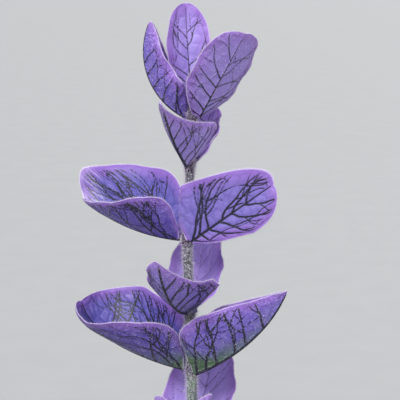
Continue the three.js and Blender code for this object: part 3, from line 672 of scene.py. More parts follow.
def blade_points(shape, u, v):
    """Middle surface of a blade in its own frame: x leads away from the stem, y to the side, z up."""
    fine = np.linspace(0, 1, 801)
    mid = (fine[1:] + fine[:-1]) / 2
    low, high = shape["rise"]
    angle = np.radians(low + (high - low) * mid + shape["hook"] * mid**4)
    step = shape["length"] / 800
    rib_x = np.interp(u, fine, np.concatenate([[0], np.cumsum(np.cos(angle) * step)]))
    rib_z = np.interp(u, fine, np.concatenate([[0], np.cumsum(np.sin(angle) * step)]))
    here = np.radians(low + (high - low) * u + shape["hook"] * u**4)
    zero = np.zeros_like(u)
    along = np.stack([np.cos(here), zero, np.sin(here)], -1)
    up = np.stack([-np.sin(here), zero, np.cos(here)], -1)
    turn = math.radians(shape["roll"])
    side = np.array([0.0, 1.0, 0.0])
    across = side * math.cos(turn) + up * math.sin(turn)
    normal = -side * math.sin(turn) + up * math.cos(turn)
    sign = np.where(v >= 0, 1.0, -1.0)
    reach = np.abs(v)
    w = half_width(shape, u, v)
    if shape["teeth"]:
        scallop = np.sqrt(np.abs(np.sin(math.pi * shape["teeth"] * u))) - 0.6
        depth = shape["tooth_depth"] * ramp(u, shape["stalk"], shape["stalk"] + 0.1)
        w = w * (1 + scallop * depth * reach**6)
    wanted = np.radians(half_of(shape, "fold", v) - half_of(shape, "open", v) * (u - 0.5))
    sharpest = np.arctan(w / FOLD_ROOM)
    fold = np.clip(wanted, -sharpest, sharpest)
    curl = np.radians(half_of(shape, "curl", v)) * np.where(np.abs(wanted) > 1e-6, fold / wanted, 1)
    flat = np.zeros_like(w)
    tall = np.zeros_like(w)
    for k in range(8):
        lean = fold + curl * reach * (k + 0.5) / 8
        flat += np.cos(lean) * reach * w / 8
        tall += np.sin(lean) * reach * w / 8
    phase = math.radians(shape["phase"]) + np.where(sign > 0, 0, 2)
    ripple = np.sin(2 * math.pi * shape["waves"] * u + phase) * np.minimum(1, 1.2 * w / shape["width"])
    ripple = ripple + 0.15 * np.sin(2 * math.pi * (3.1 * shape["waves"]) * u + 2 * phase)
    push = shape["wave"] * reach**3 * ripple
    end = fold + curl * reach
    flat = flat - np.sin(end) * push
    tall = tall + np.cos(end) * push
    lead = half_of(shape, "lead", v) * u**2 * w / shape["width"] - half_of(shape, "heel", v) * (1 - u) ** 3
    lead = lead * reach**2
    rib = np.stack([rib_x, zero, rib_z], -1)
    return rib + along * lead[..., None] + across * (sign * flat)[..., None] + normal * tall[..., None]


def spun(x, y, angle):
    """x and y turned round the origin."""
    return x * math.cos(angle) - y * math.sin(angle), x * math.sin(angle) + y * math.cos(angle)


def seat_on_stem(points, azimuth, pair_height, shape):
    """Turns and moves a blade to its pair and keeps it clear of the stem it clasps."""
    height = pair_height + shape["lift"]
    root_x, root_y = stem_axis(np.array(float(height)))
    face = math.radians(math.floor((azimuth - TURN) / 90 + 0.5) * 90 + TURN)
    apart = GAP + shape["root"]
    z = height + points[..., 2]
    axis_x, axis_y = stem_axis(z)
    x, y = spun(points[..., 0] + shape["out"], points[..., 1] + shape["aside"], math.radians(azimuth))
    away, sideways = spun(root_x + x - axis_x, root_y + y - axis_y, -face)
    keep = stem_half_width(z) * 1.25 + apart + shape["clear"]
    push = np.maximum(1, keep / np.maximum(np.hypot(away, sideways), 0.2))
    sideways = sideways * push
    clasp = shape["clasp"]
    limit = np.where(sideways > 0, clasp.get("plus", apart), clasp.get("minus", apart))
    away = np.maximum(away * push, limit)
    x, y = spun(away, sideways, face)
    return np.stack([axis_x + x, axis_y + y, z], -1)


class Blade:
    """A leaf or bract: its shape, where it sits and its veins. u runs along it, v across it."""

    def __init__(self, shape, place, seed):
        self.shape = {**BLADE, **shape}
        self.place = place
        self.seed = seed

    def points(self, u, v):
        return self.place(blade_points(self.shape, u, v), self.shape)

    def frames(self, u, v):
        """Point, direction along the blade, direction across it, and the normal of the inner face."""
        du, dv = 0.006, 0.03
        u_low, u_high = np.clip(u - du, 0, 1), np.clip(u + du, 0, 1)
        v_low, v_high = np.clip(v - dv, -1, 1), np.clip(v + dv, -1, 1)
        along = unit(self.points(u_high, v) - self.points(u_low, v))
        across = unit(self.points(u, v_high) - self.points(u, v_low))
        return self.points(u, v), along, across, unit(np.cross(along, across))

    def flat(self, u, v):
        """The same place on the blade laid flat, in millimetres."""
        return u * self.shape["length"], v * half_width(self.shape, u, v)


def unit(vectors):
    return vectors / np.maximum(np.linalg.norm(vectors, axis=-1, keepdims=True), 1e-9)


def grow_vein(blade, rng, x, y, angle, radius, depth, lines):
    """One vein that bends towards the tip as it nears the edge, and forks on its way."""
    length = blade.shape["length"]
    until_fork = rng.uniform(*FIRST_FORK)
    while radius > THINNEST_VEIN:
        u = min(max(x / length, 0), 1)
        w = float(half_width(blade.shape, np.array(u), np.array(1.0 if y >= 0 else -1.0)))
        near = abs(y) / max(w, 0.1)
        if near > 0.93 or u > 0.97:
            break
        lines.append((x, y, radius))
        angle *= 1 - VEIN_STEP * (0.016 + 0.2 * near**4)
        angle += rng.normal(0, 0.075)
        x += math.cos(angle) * VEIN_STEP
        y += math.sin(angle) * VEIN_STEP
        if depth and y * angle < 0 and abs(y) < 0.5:
            break
        radius *= 1 - 0.045 * VEIN_STEP
        until_fork -= VEIN_STEP
        if until_fork < 0 and depth < 2:
            until_fork = rng.uniform(*NEXT_FORK)
            lean = rng.choice([-1, 1]) * rng.uniform(0.45, 0.8)
            grow_vein(blade, rng, x, y, angle + lean, radius * 0.6, depth + 1, lines)


def vein_lines(blade, side_veins, size):
    """Points of the midrib, the side veins and their forks as x, y and radius."""
    rng = np.random.default_rng(blade.seed)
    length = blade.shape["length"]
    start = blade.shape["stalk"] * length
    lines = [(x, 0.0, size * (0.42 - 0.3 * x / length)) for x in np.arange(0, length * 0.97, 0.12)]
    for side in (1, -1):
        for k in range(side_veins):
            share = 0.02 + 0.8 * (max(k + rng.uniform(-0.25, 0.25), 0) / side_veins) ** 1.25
            x = start + share * (length - start)
            lean = math.radians(rng.uniform(52, 66) - 22 * share)
            grow_vein(blade, rng, x, 0.0, side * lean, size * (0.38 - 0.14 * share), 0, lines)
    return np.array(lines)


def net_points(blade, spacing, rng):
    """Middles of the cells of the vein network, in rows that lean like the side veins."""
    length = blade.shape["length"]
    reach = blade.shape["width"] * 1.3
    xs = np.arange(-reach, length + spacing, spacing)
    ys = np.arange(0.5 * spacing, reach, spacing * 1.25)
    points = []
    for side in (1, -1):
        gx, gy = np.meshgrid(xs, ys)
        gx = gx + rng.uniform(-0.42, 0.42, gx.shape) * spacing
        gy = gy + rng.uniform(-0.42, 0.42, gy.shape) * spacing
        points.append(np.stack([(gx + 0.75 * gy).ravel(), side * gy.ravel()], -1))
    return np.concatenate(points)


def nearest_two(points, at):
    """Distances from each place to its nearest and second nearest point."""
    tree = KDTree(len(points))
    for k, (x, y) in enumerate(points):
        tree.insert((x, y, 0), k)
    tree.balance()
    found = np.zeros((len(at), 3))
    for k, (x, y) in enumerate(at):
        (_, first, near), (_, _, far) = tree.find_n((x, y, 0), 2)
        found[k] = near, far, first
    return found[:, 0], found[:, 1], found[:, 2].astype(int)


def vein_fields(blade, u, v, side_veins, size):
    """How strongly a vein shows at each place, and how far into a cell of the network it lies."""
    x, y = blade.flat(u, v)
    at = np.stack([x, y], -1)
    lines = vein_lines(blade, side_veins, size)
    near, _, first = nearest_two(lines[:, :2], at)
    radius = lines[first, 2]
    main = 1 - ramp(near, radius * 0.6, radius * 1.15 + 0.1)
    rng = np.random.default_rng(blade.seed + 500)
    wide_near, wide_far, _ = nearest_two(net_points(blade, WIDE_CELL, rng), at)
    fine_near, fine_far, _ = nearest_two(net_points(blade, FINE_CELL, rng), at)
    wide_edge = wide_far - wide_near
    fine_edge = fine_far - fine_near
    wide_net = 0.33 * (1 - ramp(wide_edge, 0.04, 0.3))
    fine_net = 0.24 * (1 - ramp(fine_edge, 0.02, 0.2))
    vein = np.maximum(main, np.maximum(wide_net, fine_net))
    cell = ramp(np.minimum(wide_edge * 0.6, near - radius), 0.0, 0.9)
    return vein, main, cell


def rim_distance(blade, u, v):
    """Distance from the edge of the blade in millimetres, by its width and its tip."""
    w = half_width(blade.shape, u, v)
    return np.minimum((1 - np.abs(v)) * w, (1 - u) * blade.shape["length"])


def grid(name, rows, cols):
    deselect()
    bpy.ops.mesh.primitive_grid_add(x_subdivisions=cols, y_subdivisions=rows, size=2)
    made = bpy.context.object
    made.name = name
    return made


def blade_sheet(name, rows, cols):
    """A flat grid with a second face and an edge all round."""
    sheet = grid(name, rows, cols)
    solid = sheet.modifiers.new("thickness", "SOLIDIFY")
    solid.thickness = 0.02
    solid.offset = 0
    bpy.ops.object.modifier_apply(modifier="thickness")
    return sheet


def blade_piece(
    name, blade, looks, side_veins, mesh, pale=0.0, green=0.0, keel=0.35, puff=None, dark=1.0, bold=1.0
):
    """Shapes a sheet to a blade with swollen cells, raised veins and a thin edge."""
    sheet = blade_sheet(name, *mesh)
    start = coordinates(sheet.data)
    s = np.clip((start[:, 1] + 1) / 2, 0, 1)
    u = s - blade.shape["ease"] * np.sin(2 * math.pi * s) / (2 * math.pi)
    v = -np.clip(start[:, 0], -1, 1)
    inner = start[:, 2] > 0
    points, _, _, normal = blade.frames(u, v)
    count = len(u) // 2
    if not np.allclose(start[:count, :2], start[count:, :2]):
        raise RuntimeError("the two faces of a blade don't match")
    fields = vein_fields(blade, u[:count], v[:count], side_veins, looks.vein_size * bold)
    vein, main, cell = (np.concatenate([field, field]) for field in fields)
    rim = rim_distance(blade, u, v)
    y = np.abs(blade.flat(u, v)[1])
    inside = ramp(rim, 0.05, 1.2)
    swell = (looks.puff if puff is None else puff) / MM * cell * inside
    half = looks.thickness / MM / 2 * (0.4 + 0.6 * inside)
    if blade.shape["stalk"]:
        half = half + 0.55 * ramp(blade.shape["stalk"] * 1.3 - u, -0.05, 0.15)
    ridge = keel * np.exp(-((y / 0.5) ** 2)) * (1 - 0.85 * u) + 0.1 * main * inside
    lift = np.where(inner, half + swell - 0.05 * main, swell - half - ridge)
    set_coordinates(sheet.data, (points + normal * lift[:, None]) * MM)
    fade = ramp(rim, 0.2, 2.2)
    strength = np.where(inner, 1.0, 0.95)
    set_attribute(sheet.data, "vein", vein * (0.25 + 0.75 * fade) * strength * dark)
    set_attribute(sheet.data, "cell", cell * inside)
    set_attribute(sheet.data, "rim", rim)
    set_attribute(sheet.data, "face", np.where(inner, 0.0, 1.0))
    set_attribute(sheet.data, "pale", np.full(len(u), pale))
    foot = 0.5 * np.exp(-((u / 0.12) ** 2))
    by_keel = np.where(inner, 0.2, 1.0) * np.exp(-((y / (5.5 - 3.5 * u)) ** 2)) * (1 - u)
    set_attribute(sheet.data, "green", np.clip(green * (foot + by_keel) * 1.6, 0, 1))
    return sheet


def take_form():
    """Vertices and faces of the active object, which is then removed."""
    made = bpy.context.object
    points = coordinates(made.data)
    faces = [tuple(face.vertices) for face in made.data.polygons]
    bpy.data.objects.remove(made)
    return points, faces


def add_copies(name, points, faces, corners):
    """A piece made of copies of one form. points lists the corners of each copy in turn."""
    copies = range(len(points) // corners)
    all_faces = [tuple(corner + k * corners for corner in face) for k in copies for face in faces]
    mesh = bpy.data.meshes.new(name)
    mesh.from_pydata(points, [], all_faces)
    piece = bpy.data.objects.new(name, mesh)
    bpy.context.scene.collection.objects.link(piece)
    return piece


def strew(name, roots, directions, lengths, radius):
    """Three-sided hairs, each on its root, along its direction, in millimetres."""
    deselect()
    bpy.ops.mesh.primitive_cone_add(vertices=3, radius1=1, radius2=0, depth=1, location=(0, 0, 0.5))
    bpy.ops.object.transform_apply(location=True)
    form, faces = take_form()
    directions = unit(directions)
    helper = np.where(np.abs(directions[:, 2:3]) < 0.9, [[0.0, 0.0, 1.0]], [[1.0, 0.0, 0.0]])
    side = unit(np.cross(directions, helper))
    other = np.cross(directions, side)
    lengths = lengths[:, None]
    parts = [
        roots + side * (x * radius) + other * (y * radius) + directions * (z * lengths - 0.08)
        for x, y, z in form
    ]
    points = np.stack(parts, 1).reshape(-1, 3) * MM
    return add_copies(name, points.tolist(), faces, len(form))


def edge_hairs(blade, rng):
    """Roots, directions and lengths of the fringe along the edge of a blade."""
    u = np.linspace(0.04, 0.999, 900)
    roots, directions = [], []
    for side in (1.0, -1.0):
        points = blade.points(u, np.full_like(u, side))
        steps = np.concatenate([[0], np.cumsum(np.linalg.norm(np.diff(points, axis=0), axis=1))])
        places = np.arange(0.1, steps[-1], FRINGE_GAP)
        at = np.interp(places + rng.uniform(-0.1, 0.1, len(places)), steps, u)
        points, along, across, normal = blade.frames(at, np.full_like(at, side))
        outward = across * side + normal * rng.normal(0, 0.45, len(at))[:, None]
        outward = outward + along * rng.normal(0.25, 0.3, len(at))[:, None]
        roots.append(points)
        directions.append(outward)
    roots = np.concatenate(roots)
    return roots, np.concatenate(directions), rng.uniform(0.55, 1.15, len(roots)) * FRINGE_LENGTH


def face_hairs(blade, rng, count):
    """Roots, directions and lengths of the hairs on the outer face, most of them by the keel."""
    u = rng.uniform(0.01, 0.97, count)
    v = rng.uniform(-1, 1, count)
    v = np.where(rng.uniform(0, 1, count) < 0.35, v**5 * 0.3, v) * 0.98
    points, along, across, normal = blade.frames(u, v)
    lean = rng.normal(0, 0.35, (count, 2))
    directions = -normal + across * lean[:, :1] + along * (0.3 + lean[:, 1:])
    return points - normal * 0.15, directions, rng.uniform(0.5, 1.2, count) * FACE_HAIR_LENGTH


def weld(threshold, fill):
    """Merges the doubles of the active piece, may close its holes, and turns its faces outwards."""
    bpy.ops.object.mode_set(mode="EDIT")
    bpy.ops.mesh.select_all(action="SELECT")
    bpy.ops.mesh.remove_doubles(threshold=threshold)
    if fill:
        bpy.ops.mesh.fill_holes(sides=0)
    bpy.ops.mesh.normals_make_consistent(inside=False)
    bpy.ops.object.mode_set(mode="OBJECT")


def rolled(name, rows, cols, form):
    """A grid rolled into a closed tube. form gives the points for a share of its length and an angle."""
    tube = grid(name, rows, cols)
    start = coordinates(tube.data)
    share = (start[:, 1] + 1) / 2
    angle = (start[:, 0] + 1) * math.pi
    set_coordinates(tube.data, form(share, angle) * MM)
    weld(1e-6, True)
    return tube


def turned(name, profile, sides, closed=True):
    """A shell turned round the vertical axis: a ring that is extruded and resized along the profile."""
    deselect()
    radius, height = profile[0]
    place = (0, 0, height * MM)
    bpy.ops.mesh.primitive_circle_add(vertices=sides, radius=radius * MM, location=place)
    shell = bpy.context.object
    shell.name = name
    bpy.ops.object.transform_apply(location=True)
    bpy.ops.object.mode_set(mode="EDIT")
    bpy.ops.mesh.select_all(action="SELECT")
    for (r, z), (next_r, next_z) in zip(profile, profile[1:]):
        bpy.ops.mesh.extrude_edges_move(TRANSFORM_OT_translate={"value": (0, 0, (next_z - z) * MM)})
        grow = next_r / r
        bpy.ops.transform.resize(value=(grow, grow, 1), center_override=(0, 0, 0))
    bpy.ops.object.mode_set(mode="OBJECT")
    weld(2e-6, not closed)
    return shell


def inner_radius(z, sizes):
    """Radius of the pot's inner wall in millimetres."""
    t = (z - POT_FLOOR) / (sizes.height / MM - POT_FLOOR)
    low = sizes.foot_radius / MM - WALL
    return low + (sizes.rim_radius / MM - WALL - 2.5 - low) * t


class SAGE_OT_pot(bpy.types.Operator):
    """Turn the clay pot, with its rolled rim and drain hole"""

    bl_idname = "sage.pot"
    bl_label = "Pot"

    def execute(self, context):
        sizes = context.scene.sage_pot
        top = sizes.height / MM
        rim = sizes.rim_radius / MM
        foot = sizes.foot_radius / MM
        step = top - sizes.rim_height / MM
        inside = inner_radius(top, sizes)
        wall = rim - RIM_STEP
        profile = [(DRAIN_RADIUS, 0.8), (DRAIN_RADIUS + 0.8, 0)]
        profile += [(foot - 4, 0), (foot - 1.2, 0.2), (foot - 0.2, 1.2)]
        profile += [(foot + (wall - foot) * t, 1.2 + (step - 2.2) * t) for t in np.linspace(0.03, 1, 22)]
        profile += [(wall + 0.1, step - 0.1), (rim - 2.2, step)]
        profile += [(rim - 1.2, step + 0.2), (rim - 0.5, step + 1)]
        profile += [(rim - 0.4, step + 5), (rim - 0.55, step + 9), (rim - 0.4, step + 13), (rim, top - 3)]
        profile += [(rim - 0.3, top - 1.5), (rim - 1.2, top - 0.4), (rim - 2.6, top), (inside + 2, top)]
        profile += [(inside + 0.9, top - 0.4), (inside + 0.4, top - 1.4)]
        profile += [(inner_radius(z, sizes), z) for z in np.linspace(top - 6, POT_FLOOR + 3, 16)]
        profile += [(inner_radius(POT_FLOOR, sizes) - 2.5, POT_FLOOR), (DRAIN_RADIUS + 0.6, POT_FLOOR)]
        profile += [(DRAIN_RADIUS, POT_FLOOR - 0.6), (DRAIN_RADIUS, 0.8)]
        pot = turned("clay_pot", profile, POT_SIDES)
        dress(pot, clay_finish(sizes), "pot")
        return {"FINISHED"}


class SAGE_OT_soil(bpy.types.Operator):
    """Fill the pot with crumbly soil and white grains"""

    bl_idname = "sage.soil"
    bl_label = "Soil"

    def execute(self, context):
        sizes = context.scene.sage_pot
        hole = HALF_WIDTH_FOOT * 1.25 + 0.35
        edge = inner_radius(SOIL_TOP - 1, sizes) - 0.6
        profile = [(hole, STEM_FOOT - 0.3), (hole, SOIL_TOP - 4), (hole, SOIL_TOP - 0.4)]
        profile += [(r, SOIL_TOP + 0.3 - r / 60) for r in np.arange(hole + 0.6, edge - 1, 0.9)]
        profile += [(edge, SOIL_TOP - 2.4), (inner_radius(SOIL_TOP - 8, sizes) - 0.5, SOIL_TOP - 8)]
        profile += [(inner_radius(POT_FLOOR + 4, sizes) - 0.5, POT_FLOOR + 4)]
        profile += [(inner_radius(POT_FLOOR, sizes) - 3.4, POT_FLOOR + 0.4), (hole, POT_FLOOR + 0.4)]
        profile += [(hole * 0.1, POT_FLOOR + 0.4)]
        soil = turned("soil_bed", profile, POT_SIDES, closed=False)
        points = coordinates(soil.data) / MM
        for point in points:
            if point[2] > SOIL_TOP - 2 and math.hypot(point[0], point[1]) > hole + 0.3:
                coarse = noise(Vector(point) / 7) * 1.6
                fine = noise(Vector(point) / 2.1 + Vector((9, 4, 2))) * 0.9
                point[2] += coarse + fine - 0.3
        set_coordinates(soil.data, points * MM)
        dress(soil, soil_finish(sizes), "soil")
        self.scatter("soil_crumbs", sizes, 1500, (0.5, 1.7), 11, soil_finish(sizes))
        self.scatter("perlite_grains", sizes, 90, (0.6, 1.3), 12, perlite_finish(sizes))
        return {"FINISHED"}

    def scatter(self, name, sizes, count, radii, seed, material):
        """Copies of one lump over the soil."""
        rng = np.random.default_rng(seed)
        deselect()
        bpy.ops.mesh.primitive_ico_sphere_add(subdivisions=1, radius=1)
        form, faces = take_form()
        form = form * (1 + 0.25 * np.sin(form * 5 + 1).sum(1, keepdims=True) / 3)
        reach = inner_radius(SOIL_TOP, sizes) - 2.2
        r = reach * np.sqrt(rng.uniform(0.006, 1, count))
        turn = rng.uniform(0, 2 * math.pi, count)
        size = rng.uniform(*radii, count) ** 1.3
        points = []
        for k in range(count):
            tilt = Matrix.Rotation(rng.uniform(0, 6), 3, "X") @ Matrix.Rotation(rng.uniform(0, 6), 3, "Z")
            squash = np.array([1, rng.uniform(0.7, 1), rng.uniform(0.5, 0.8)]) * size[k]
            centre = Vector((r[k] * math.cos(turn[k]), r[k] * math.sin(turn[k]), SOIL_TOP))
            centre.z += noise(centre / 7) * 1.6 + 0.1 - r[k] / 60
            points += [(centre + tilt @ Vector(p * squash)) * MM for p in form]
        dress(add_copies(name, points, faces, len(form)), material)


def corner_radius(angle):
    """Radius share round the stem: corners at the odd eighths of a turn."""
    turn = angle - math.radians(TURN)
    return 0.95 + 0.3 * (0.5 - 0.5 * np.cos(4 * turn)) ** 1.5


def stem_points(z, angle):
    """Points on the skin of the main stem."""
    x, y = stem_axis(z)
    radius = stem_half_width(z) * corner_radius(angle) * 0.92
    radius = radius + 0.03 * np.sin(9 * angle + 0.13 * z) + 0.02 * np.sin(1.7 * z + 3 * angle)
    return np.stack([x + np.cos(angle) * radius, y + np.sin(angle) * radius, z], -1)


class SAGE_OT_stem(bpy.types.Operator):
    """Raise the square main stem with its swollen nodes and its hairs"""

    bl_idname = "sage.stem"
    bl_label = "Stem"

    def execute(self, context):
        looks = context.scene.sage_plant

        def form(share, angle):
            z = STEM_FOOT + (STEM_TOP + 0.6 - STEM_FOOT) * share
            return stem_points(z, angle)

        stem = rolled("square_stem", 640, 48, form)
        z = coordinates(stem.data)[:, 2] / MM
        set_attribute(stem.data, "node", np.clip(node_bulge(z - 0.8), 0, 1) * ramp(z, 240, 270))
        dress(stem, stem_finish(looks), "main_stem")
        rng = np.random.default_rng(21)
        upper = rng.uniform(HAIRY_STEM, STEM_TOP, looks.hair_count)
        lower = rng.uniform(SOIL_TOP + 2, HAIRY_STEM, looks.hair_count // 2)
        z = np.concatenate([upper, lower])
        angle = rng.uniform(0, 2 * math.pi, len(z))
        roots = stem_points(z, angle)
        out = np.stack([np.cos(angle), np.sin(angle), np.zeros_like(angle)], -1)
        directions = out + rng.normal(0, 0.32, (len(z), 3)) - np.array([0, 0, 0.12])
        lengths = rng.gamma(3.2, 0.3, len(z)).clip(0.3, 2.2) * looks.hair_length / MM
        hairs = strew("stem_hairs", roots, directions, lengths, STEM_HAIR)
        dress(hairs, hair_finish(looks))
        return {"FINISHED"}


def stem_blade(shape, azimuth, pair, seed):
    """A blade on the main stem."""
    return Blade(shape, lambda points, full: seat_on_stem(points, azimuth, PAIR_HEIGHT[pair], full), seed)


class SAGE_OT_bracts(bpy.types.Operator):
    """Shape the violet bracts with their veins and fringe"""

    bl_idname = "sage.bracts"
    bl_label = "Violet bracts"

    def execute(self, context):
        looks = context.scene.sage_plant
        finish = violet_finish(looks)
        fringe = []
        for seed, (name, shape) in enumerate(BRACTS.items()):
            look = dict(BRACT_LOOKS[name])
            blade = stem_blade({**BRACT, **shape}, shape["azimuth"], shape["pair"], 40 + seed)
            side_veins = 6 if shape["length"] > 10 else 3
            piece = blade_piece(f"violet_bract_{name}", blade, looks, side_veins, **look)
            dress(piece, finish, f"bract_{name}")
            rng = np.random.default_rng(140 + seed)
            fringe.append(edge_hairs(blade, rng))
            fringe.append(face_hairs(blade, rng, int(FACE_HAIRS * shape["length"])))
        roots, directions, lengths = (np.concatenate(part) for part in zip(*fringe))
        hairs = strew("bract_hairs", roots, directions, lengths, BRACT_HAIR)
        dress(hairs, hair_finish(looks))
        return {"FINISHED"}


class SAGE_OT_floral_bracts(bpy.types.Operator):
    """Shape the small green and purple bracts under the flowers"""

    bl_idname = "sage.floral_bracts"
    bl_label = "Floral bracts"

    def execute(self, context):
        looks = context.scene.sage_plant
        finish = floral_finish(looks)
        for whorl in WHORLS:
            for side in whorl["sides"]:
                shape = {**FLORAL_BRACT, "length": whorl["length"], "width": whorl["width"]}
                name = f"floral_bract_{whorl['pair']}_{side}"
                seed = 300 + 4 * whorl["pair"] + len(side)
                blade = stem_blade(shape, DIRECTIONS[side], whorl["pair"], seed)
                piece = blade_piece(f"green_{name}", blade, looks, 6, (70, 44))
                dress(piece, finish, name)
        return {"FINISHED"}


class SAGE_OT_leaves(bpy.types.Operator):
    """Shape the stalked, toothed leaves"""

    bl_idname = "sage.leaves"
    bl_label = "Leaves"

    def execute(self, context):
        looks = context.scene.sage_plant
        finish = leaf_finish(looks)
        for pair in LEAF_PAIRS:
            for side in pair["sides"]:
                size = {key: value for key, value in pair.items() if key not in ("pair", "sides")}
                phase = 60 * pair["pair"] + DIRECTIONS[side]
                shape = {**LEAF, **size, "phase": phase}
                name = f"leaf_{pair['pair']}_{side}"
                seed = 400 + 8 * pair["pair"] + len(side)
                blade = stem_blade(shape, DIRECTIONS[side], pair["pair"], seed)
                piece = blade_piece(f"toothed_{name}", blade, looks, 9, (192, 56), puff=0.0004)
                dress(piece, finish, name)
        return {"FINISHED"}


def shoot_frame(shoot, share):
    """Point on a side shoot and its directions out, aside and along, before the shoot is turned."""
    steps = 40
    low, high = shoot["lean"]
    x, z = SHOOT_START
    for k in range(steps):
        angle = math.radians(low + (high - low) * math.sqrt((k + 0.5) / steps * share))
        x += math.cos(angle) * shoot["length"] * share / steps
        z += math.sin(angle) * shoot["length"] * share / steps
    angle = math.radians(low + (high - low) * math.sqrt(share))
    out = np.array([math.sin(angle), 0, -math.cos(angle)])
    along = np.array([math.cos(angle), 0, math.sin(angle)])
    return np.array([x, 0, z]), out, np.array([0.0, 1.0, 0.0]), along


def place_shoot(points, shoot):
    """Turns and moves points from a side shoot's own frame to the plant."""
    height = PAIR_HEIGHT[shoot["pair"]]
    axis_x, axis_y = stem_axis(np.array(float(height)))
    x, y = spun(points[..., 0], points[..., 1], math.radians(shoot["azimuth"]))
    return np.stack([x + axis_x, y + axis_y, points[..., 2] + height], -1)


def on_shoot(shoot, origin, out, side, along, turn):
    """Places a blade on a side shoot, turned round it."""

    def place(points, shape):
        x, y = spun(points[..., 0] + shape["out"], points[..., 1], math.radians(turn))
        here = origin + out * x[..., None] + side * y[..., None] + along * points[..., 2:3]
        return place_shoot(here, shoot)

    return place


def ring(origin, out, side, angle, radius):
    """Points round the middle of a shoot."""
    return origin + out * (np.cos(angle) * radius)[:, None] + side * (np.sin(angle) * radius)[:, None]


def shoot_stem(name, shoot):
    rows = 60
    frames = [shoot_frame(shoot, share) for share in np.linspace(0, 1, rows + 1)]

    def form(share, angle):
        row = np.round(share * rows).astype(int)
        origin, out, side = (np.array([made[part] for made in frames])[row] for part in range(3))
        radius = SHOOT_RADIUS[0] + (SHOOT_RADIUS[1] - SHOOT_RADIUS[0]) * share
        radius = radius * (0.94 + 0.08 * np.cos(4 * angle))
        return place_shoot(ring(origin, out, side, angle, radius), shoot)

    return rolled(name, rows, 16, form)


class SAGE_OT_shoots(bpy.types.Operator):
    """Grow the side shoots with their small leaves and violet heads"""

    bl_idname = "sage.shoots"
    bl_label = "Side shoots"

    def execute(self, context):
        looks = context.scene.sage_plant
        leaf = leaf_finish(looks)
        violet = violet_finish(looks)
        for order, (where, shoot) in enumerate(SHOOTS.items()):
            parts = [shoot_stem(f"shoot_{where}", shoot)]
            for level, size in enumerate(SHOOT_LEAVES):
                origin, out, side, along = shoot_frame(shoot, size["at"])
                for turn in (size["turn"], size["turn"] + 180):
                    place = on_shoot(shoot, origin, out, side, along, turn)
                    seed = 600 + 20 * order + 4 * level + (turn > 180)
                    blade = Blade({**SHOOT_LEAF, **size}, place, seed)
                    parts.append(blade_piece("small_leaf", blade, looks, 6, (60, 24), puff=0.0002))
            stem = join(f"leafy_shoot_{where}", parts)
            dress(stem, leaf, f"shoot_{where}_stem")
            self.head(where, shoot, order, looks, violet)
        return {"FINISHED"}

    def head(self, where, shoot, order, looks, material):
        """The bracts at the end of a shoot and the core that carries them."""
        origin, out, side, along = shoot_frame(shoot, 1)
        origin = origin + along * (GAP + 0.2)

        def form(share, angle):
            z = share * HEAD_CORE[-1][0]
            radius = np.interp(z, *zip(*HEAD_CORE))
            return place_shoot(ring(origin, out, side, angle, radius) + along * z[:, None], shoot)

        parts = [rolled("head_core", 16, 14, form)]
        for level, size in enumerate(HEAD_PAIRS):
            for turn in (size["turn"], size["turn"] + 180):
                place = on_shoot(shoot, origin + along * size["at"], out, side, along, turn)
                seed = 800 + 20 * order + 4 * level + (turn > 180)
                blade = Blade({**HEAD_BRACT, **size}, place, seed)
                parts.append(blade_piece("head_bract", blade, looks, 5, (56, 36), 0.3, 0.25))
        head = join(f"violet_head_{where}", parts)
        dress(head, material, f"shoot_{where}_head")


def in_flower(azimuth, height):
    """Matrix that carries a flower from the x axis to its place on the stem."""
    x, y = stem_axis(np.array(float(height)))
    place = Matrix.Translation(Vector((float(x), float(y), height)) * MM)
    lean = Matrix.Rotation(-math.radians(FLOWER_LEAN), 4, "Y")
    start = Matrix.Translation((FLOWER_START * MM, 0, 0))
    return place @ Matrix.Rotation(math.radians(azimuth), 4, "Z") @ lean @ start


def lie(points):
    """Turns points from the z axis to the x axis."""
    return np.stack([points[:, 2], points[:, 1], -points[:, 0]], -1)


